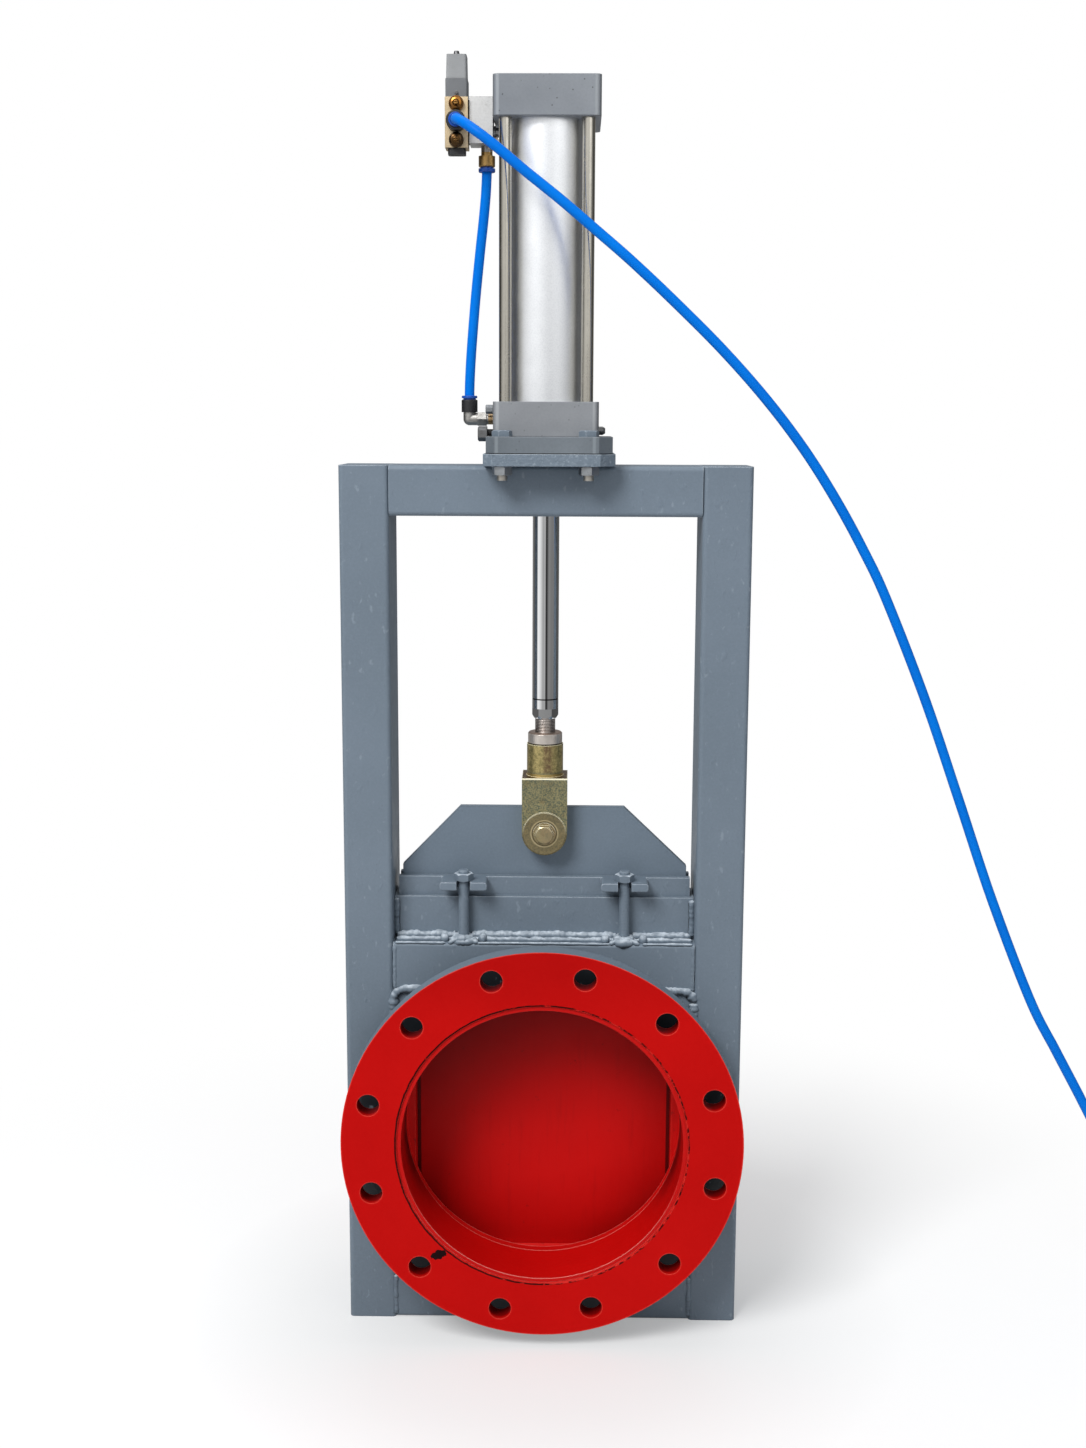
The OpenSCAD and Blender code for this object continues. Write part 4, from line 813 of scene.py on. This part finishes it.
def ease(x, a, b):
    t = min(1.0, max(0.0, (x - a) / (b - a)))
    return t * t * (3 - 2 * t)


def coil_turns():
    """Two turns side by side on the floor and two on them, wound with the lead-in."""
    out = []
    for a in range(-80, 1231, 10):
        r = 62.9 - 9.8 * ease(a, 215, 270) + 9.8 * ease(a, 830, 900)
        z = 4.8 + 9.6 * ease(a, 530, 612)
        t = math.radians(a)
        out.append((690 + r * math.cos(t), r * math.sin(t), z))
    return mm(out)


line = smooth_line(route + coil_turns(), 0.004)
supply = curve_piece("supply_hose_tube", line, HOSE_D, hose_plastic("hose_blue_cut", line[-1]))
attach(supply, "valve")
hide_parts("supply_hose", "hose_coil")

down = mm([
    (-57.5, 0, 1157), (-57.5, 0, 1145), (-58.5, 0, 1124), (-60.9, 0, 1098.7), (-64, 0, 1071.4),
    (-68.5, 0, 1027.3), (-72.5, 0, 978.9), (-74.2, 0, 949.5), (-74.5, 0, 934.8), (-74.5, 0, 922.75),
])
down_tube = curve_piece("down_hose_tube", smooth_line(down, 0.006), HOSE_D, MATERIALS["hose"])
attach(down_tube, "valve")
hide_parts("down_hose")


# Weld beads
BEAD_STEP = 0.0011
BEAD_SIDES = 10
ROD_SIDES = 24
# A fixed direction, along none of the beads, from which their cross-sections are turned
ASKEW = Vector((0.31, 0.93, 0.17))


def across(direction):
    """Two directions at right angles to the given one and to each other."""
    u = direction.cross(ASKEW).normalized()
    return u, direction.cross(u)


def tube_faces(rings, sides):
    """Faces between rings of points that follow each other, with both ends closed."""
    faces = []
    for i in range(rings - 1):
        b = i * sides
        for k in range(sides):
            n = (k + 1) % sides
            faces.append((b + k, b + n, b + sides + n, b + sides + k))
    faces.append(tuple(range(sides - 1, -1, -1)))
    faces.append(tuple((rings - 1) * sides + k for k in range(sides)))
    return faces


def bead(name, points, r, seed, ripple=0.0034, rough=0.22, look="weld"):
    """A lumpy weld bead along a line."""
    rng = random.Random(seed)
    off = Vector((rng.uniform(-50, 50), rng.uniform(-50, 50), rng.uniform(-50, 50)))
    pts = smooth_line(points, BEAD_STEP)
    verts = []
    n = len(pts)
    run = 0.0
    for i, p in enumerate(pts):
        t = (pts[min(i + 1, n - 1)] - pts[max(i - 1, 0)]).normalized()
        if i:
            run += (p - pts[i - 1]).length
        u, v = across(t)
        wave = abs(math.sin(math.pi * (run / ripple + 1.5 * noise.noise(p * 60 + off))))
        lumps = rough * noise.noise(p * 90 + off) + 0.12 * noise.noise(p * 320 + off)
        size = r * (0.84 + 0.12 * wave + lumps)
        end = min(1.0, 0.25 + min(i, n - 1 - i) / 3.0)
        for k in range(BEAD_SIDES):
            a = 2 * math.pi * k / BEAD_SIDES
            d = u * math.cos(a) + v * math.sin(a)
            q = p + d * size * end
            q += d * r * 0.18 * noise.noise(q * 260 + off)
            verts.append(q)
    return mesh_piece(name, verts, tube_faces(n, BEAD_SIDES), MATERIALS[look])


def ring_points(cx, cy, cz, r):
    """A closed level ring of points."""
    turns = [math.radians(18.0 * i) for i in range(21)]
    return mm([(cx + r * math.cos(a), cy + r * math.sin(a), cz) for a in turns])


def rod_piece(name, a, b, r, material, dome=0.0):
    """A round bar from a to b in millimetres, with a domed far end where dome is its height in metres."""
    a, b = mm((a, b))
    t = (b - a).normalized()
    u, v = across(t)
    rings = [(0.0, 1.0), ((b - a).length, 1.0)]
    if dome:
        for degrees in (20.0, 40.0, 60.0, 80.0):
            q = math.radians(degrees)
            rings.append(((b - a).length + dome * math.sin(q), math.cos(q)))
    verts = []
    for height, width in rings:
        for j in range(ROD_SIDES):
            q = 2 * math.pi * j / ROD_SIDES
            verts.append(a + t * height + (u * math.cos(q) + v * math.sin(q)) * r * width)
    return mesh_piece(name, verts, tube_faces(len(rings), ROD_SIDES), material, smooth=bool(dome))


rod_piece("left_plug_neck", (-49.9, -20, 901.5), (-56.8, -20, 901.5), 0.0033, MATERIALS["rubber"])
rod_piece("block_plug_dome", (-51.0, -4, 1172.5), (-47.5, -4, 1172.5), 0.0062, MATERIALS["nickel"],
          dome=0.0035)


def closer(points):
    """The same line with points added on its long straight runs, 8 mm or more apart."""
    out = [points[0]]
    for a, b in zip(points, points[1:]):
        n = max(1, int(math.dist(a, b) / 8.0))
        out += [tuple(p + (q - p) * i / n for p, q in zip(a, b)) for i in range(1, n + 1)]
    return out


WINDOW_Y = 38.3
LEDGE_Y = 38.9
BOX_WALL_Y = 20.6
STUD_X = 80


def box_beads(tag, side):
    """Beads along the foot of the packing box, and the paint run on the edge of the ledge below it."""
    y = side * BOX_WALL_Y
    for j, (x0, x1) in enumerate(((-148, -88), (-73, 73), (88, 148))):
        mid = (x0 + x1) / 2
        bead(f"{tag}_foot_bead_{j}", mm([(x0, y, 402.6), (mid, y, 402.9), (x1, y, 402.6)]),
             0.0052, 31 + 7 * j + side, ripple=0.0062, rough=0.32)
        bead(f"{tag}_toe_bead_{j}",
             mm([(x0, side * 28.5, 400.6), (mid, side * 29, 400.8), (x1, side * 28.5, 400.6)]),
             0.0034, 211 + 7 * j + side, ripple=0.0075, rough=0.4)
    y = side * LEDGE_Y
    for j, (x0, x1) in enumerate(((-148, -98), (-66, 66), (98, 148))):
        mid = (x0 + x1) / 2
        bead(f"{tag}_ledge_run_{j}", mm([(x0, y, 399.8), (mid, y, 400), (x1, y, 399.8)]),
             0.0016, 191 + 7 * j + side, rough=0.3)


def stud_beads(tag, side, sx):
    """The bead round the foot of a stud, and the mound and lumps that join it to the ledge's edge."""
    end = "l" if sx < 0 else "r"
    x = sx * STUD_X
    bead(f"{tag}_stud_bead_{end}", ring_points(x, side * 28, 402.2, 7.4),
         0.0046, 51 + sx + 3 * side, rough=0.4)
    bead(f"{tag}_stud_toe_{end}",
         mm([(x - 13, side * 30, 401), (x - 6, side * 36.5, 400.2), (x, side * 38, 400.4),
             (x + 6, side * 36.5, 400.2), (x + 13, side * 30, 401)]),
         0.0042, 71 + sx + side, rough=0.45)
    bead(f"{tag}_stud_mound_{end}",
         mm([(x - 15, side * 39, 399.5), (x - 8, side * 36, 402), (x, side * 34.5, 403.6),
             (x + 8, side * 36, 402), (x + 15, side * 39, 399.5)]),
         0.0030, 151 + sx + side, rough=0.5)
    for dx in (-19, 19):
        bead(f"{tag}_stud_lump_{end}{'l' if dx < 0 else 'r'}",
             mm([(x + dx - 4, side * 29, 401), (x + dx, side * 30, 401.6), (x + dx + 4, side * 29, 401)]),
             0.0062, 171 + sx + dx + side, rough=0.4)


def leg_beads(tag, side, sx):
    """Upright beads against a leg: packing box's end, body's seam and low crossbar."""
    end = "l" if sx < 0 else "r"
    bead(f"{tag}_box_end_bead_{end}",
         mm([(sx * 147.5, side * 20.5, 403), (sx * 147.8, side * 20.8, 422), (sx * 147.5, side * 20.4, 441)]),
         0.0034, 91 + sx + side)
    bead(f"{tag}_body_seam_{end}",
         mm([(sx * 148.2, side * 38.2, 352), (sx * 148.3, side * 38.3, 374), (sx * 148.2, side * 38.2, 398)]),
         0.0026, 231 + sx + side, rough=0.15, look="frame")
    bead(f"{tag}_low_seam_{end}",
         mm([(sx * 150, side * 38.6, 3), (sx * 150.4, side * 38.8, 24), (sx * 150, side * 38.6, 46)]),
         0.0029, 131 + sx + side)


for side, tag in ((-1, "front"), (1, "rear")):
    # Round the window over the cheek plate, with rounded corners
    window = []
    for cx, cz, start in ((138, 340, 0), (-138, 340, 90), (-138, 60, 180), (138, 60, 270)):
        for i in range(6):
            a = math.radians(start + 90 * i / 5)
            window.append((cx + 12 * math.cos(a), side * WINDOW_Y, cz + 12 * math.sin(a)))
    window.append(window[0])
    b = bead(tag + "_window_bead", mm(closer(window)), 0.0052, 11 + side, ripple=0.006)
    if tag == "front":
        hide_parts("frame_welds")
    box_beads(tag, side)
    for sx in (-1, 1):
        stud_beads(tag, side, sx)
        leg_beads(tag, side, sx)


# Floor, world and light
FLOOR_RADIUS = 2.4
FLOOR_GREY = 0.7
FLOOR_GLOW = 0.3
# How much of its glow the floor shows to metal that mirrors it
FLOOR_IN_METAL = 0.62
WHITE = (1, 1, 1, 1)
SKY = (0.95, 0.97, 1.0, 1)
SKY_STRENGTH = 0.35
ZENITH = (0.55, 0.55, 0.55, 1)
# What metal mirrors, as shares of a full turn and their brightness: narrow bands below eye level,
# one wide pale band above it
LOW_BANDS = [
    (0.0, 0.2), (0.10, 0.22), (0.17, 0.10), (0.235, 0.05), (0.27, 0.03), (0.287, 0.45), (0.31, 1.0),
    (0.33, 0.92), (0.37, 0.78), (0.40, 0.62), (0.424, 0.45), (0.449, 0.36), (0.475, 0.46),
    (0.494, 0.36), (0.508, 0.03), (0.530, 0.02), (0.550, 0.12), (0.58, 0.24), (0.65, 0.19),
    (0.70, 0.2), (0.725, 0.1), (0.745, 0.05), (0.77, 0.13), (0.81, 0.07), (0.88, 0.09), (1.0, 0.2),
]
WIDE_BAND = [
    (0.0, 0.3), (0.12, 0.22), (0.19, 0.10), (0.235, 0.04), (0.265, 0.10), (0.30, 0.38), (0.34, 0.62),
    (0.39, 0.92), (0.44, 1.0), (0.56, 1.0), (0.61, 0.88), (0.655, 0.6), (0.68, 0.34), (0.72, 0.24),
    (0.745, 0.12), (0.765, 0.04), (0.80, 0.06), (0.83, 0.2), (0.9, 0.25), (1.0, 0.3),
]


def set_floor():
    k = Mat("floor_white")
    data = bpy.data.meshes.new("floor")
    turns = [math.radians(a) for a in range(0, 360, 5)]
    rim = [(FLOOR_RADIUS * math.cos(a), FLOOR_RADIUS * math.sin(a), 0) for a in turns]
    data.from_pydata(rim, [], [tuple(range(len(rim)))])
    floor = bpy.data.objects.new("floor", data)
    COLLECTION.objects.link(floor)
    # Near the object the floor takes its shadow, and further out it runs into the white backdrop
    away = k.radius(0.0, 0.0, z=k.xyz()[1])
    # Painted shade: the floor's grey is a little darker close to the object
    near = k.soft(away, 0.42, 0.2, 0.0, 0.12)
    away = k.soft(away, 0.34, 0.95)
    rays = k.add("ShaderNodeLightPath").outputs
    direct = k.math("MAXIMUM", rays["Is Camera Ray"], rays["Is Transmission Ray"])
    glow = k.math("MAXIMUM", direct, k.math("MULTIPLY", rays["Is Glossy Ray"], FLOOR_IN_METAL))
    glow = k.math("MULTIPLY", glow, k.range(away, 0.0, 1.0, FLOOR_GLOW, 1.0))
    seen = k.math("MAXIMUM", direct, rays["Is Glossy Ray"])
    black = k.math("MAXIMUM", near, k.math("MULTIPLY", away, seen))
    k.put(k.shader.inputs["Emission Color"], WHITE)
    k.put(k.shader.inputs["Emission Strength"], glow)
    grey = (FLOOR_GREY, FLOOR_GREY, FLOOR_GREY, 1)
    data.materials.append(k.done(k.mix(black, grey, (0, 0, 0, 1)), 0.9, 0.0, specular=0.0))


def ramp(tree, at, stops):
    """A grey that changes along the stops, each a place from 0 to 1 and a brightness."""
    node = tree.add("ShaderNodeValToRGB")
    tree.put(node.inputs[0], at)
    steps = node.color_ramp
    steps.interpolation = "LINEAR"
    while len(steps.elements) < len(stops):
        steps.elements.new(0.5)
    for step, (place, value) in zip(steps.elements, stops):
        step.position = place
        step.color = (value, value, value, 1)
    return node.outputs[0]


def background(tree, colour, strength):
    node = tree.add("ShaderNodeBackground")
    tree.put(node.inputs[0], colour)
    tree.put(node.inputs[1], strength)
    return node.outputs[0]


def either(tree, share, first, second):
    """The first shader where share is 0, the second where it is 1."""
    node = tree.add("ShaderNodeMixShader")
    for socket, value in zip(node.inputs, (share, first, second)):
        tree.put(socket, value)
    return node.outputs[0]


def set_world():
    world = bpy.data.worlds.new("world")
    world.use_nodes = True
    scene.world = world
    w = Tree(world.node_tree)
    x, y, z = w.split(w.coords.outputs["Generated"])
    # Azimuth about +Z, 0 towards the front of the object, positive to its right
    azimuth = w.math("ARCTAN2", x, w.math("MULTIPLY", y, -1.0))
    turn = w.range(azimuth, -math.pi, math.pi)
    bands = w.mix(w.range(z, -0.035, 0.01), ramp(w, turn, LOW_BANDS), ramp(w, turn, WIDE_BAND))
    # Paler towards the zenith, where the soft light hangs
    mirrored = w.mix(w.range(z, 0.5, 0.85), bands, ZENITH)
    rays = w.add("ShaderNodeLightPath").outputs
    direct = w.math("MAXIMUM", rays["Is Camera Ray"], rays["Is Transmission Ray"])
    lit = either(w, rays["Is Glossy Ray"], background(w, SKY, SKY_STRENGTH), background(w, mirrored, 1.0))
    out = w.add("ShaderNodeOutputWorld")
    w.put(out.inputs[0], either(w, direct, lit, background(w, WHITE, 1.0)))


def lamp(name, place, aim, size, power):
    data = bpy.data.lights.new(name, "AREA")
    data.shape = "RECTANGLE"
    data.size = size
    data.size_y = size
    data.energy = power
    o = bpy.data.objects.new(name, data)
    o.location = place
    o.rotation_mode = "QUATERNION"
    o.rotation_quaternion = (Vector(aim) - Vector(place)).to_track_quat("-Z", "Y")
    COLLECTION.objects.link(o)


set_floor()
set_world()
lamp("key_light", (-2.4, -3.8, 4.9), (0, 0, 0.45), 2.5, 318)
lamp("fill_light", (2.4, -3.6, 3.0), (0, 0, 0.5), 3.0, 22)
lamp("top_light", (0.1, 0.6, 3.4), (0, 0, 0.4), 2.2, 20)
scene.view_settings.view_transform = "Standard"
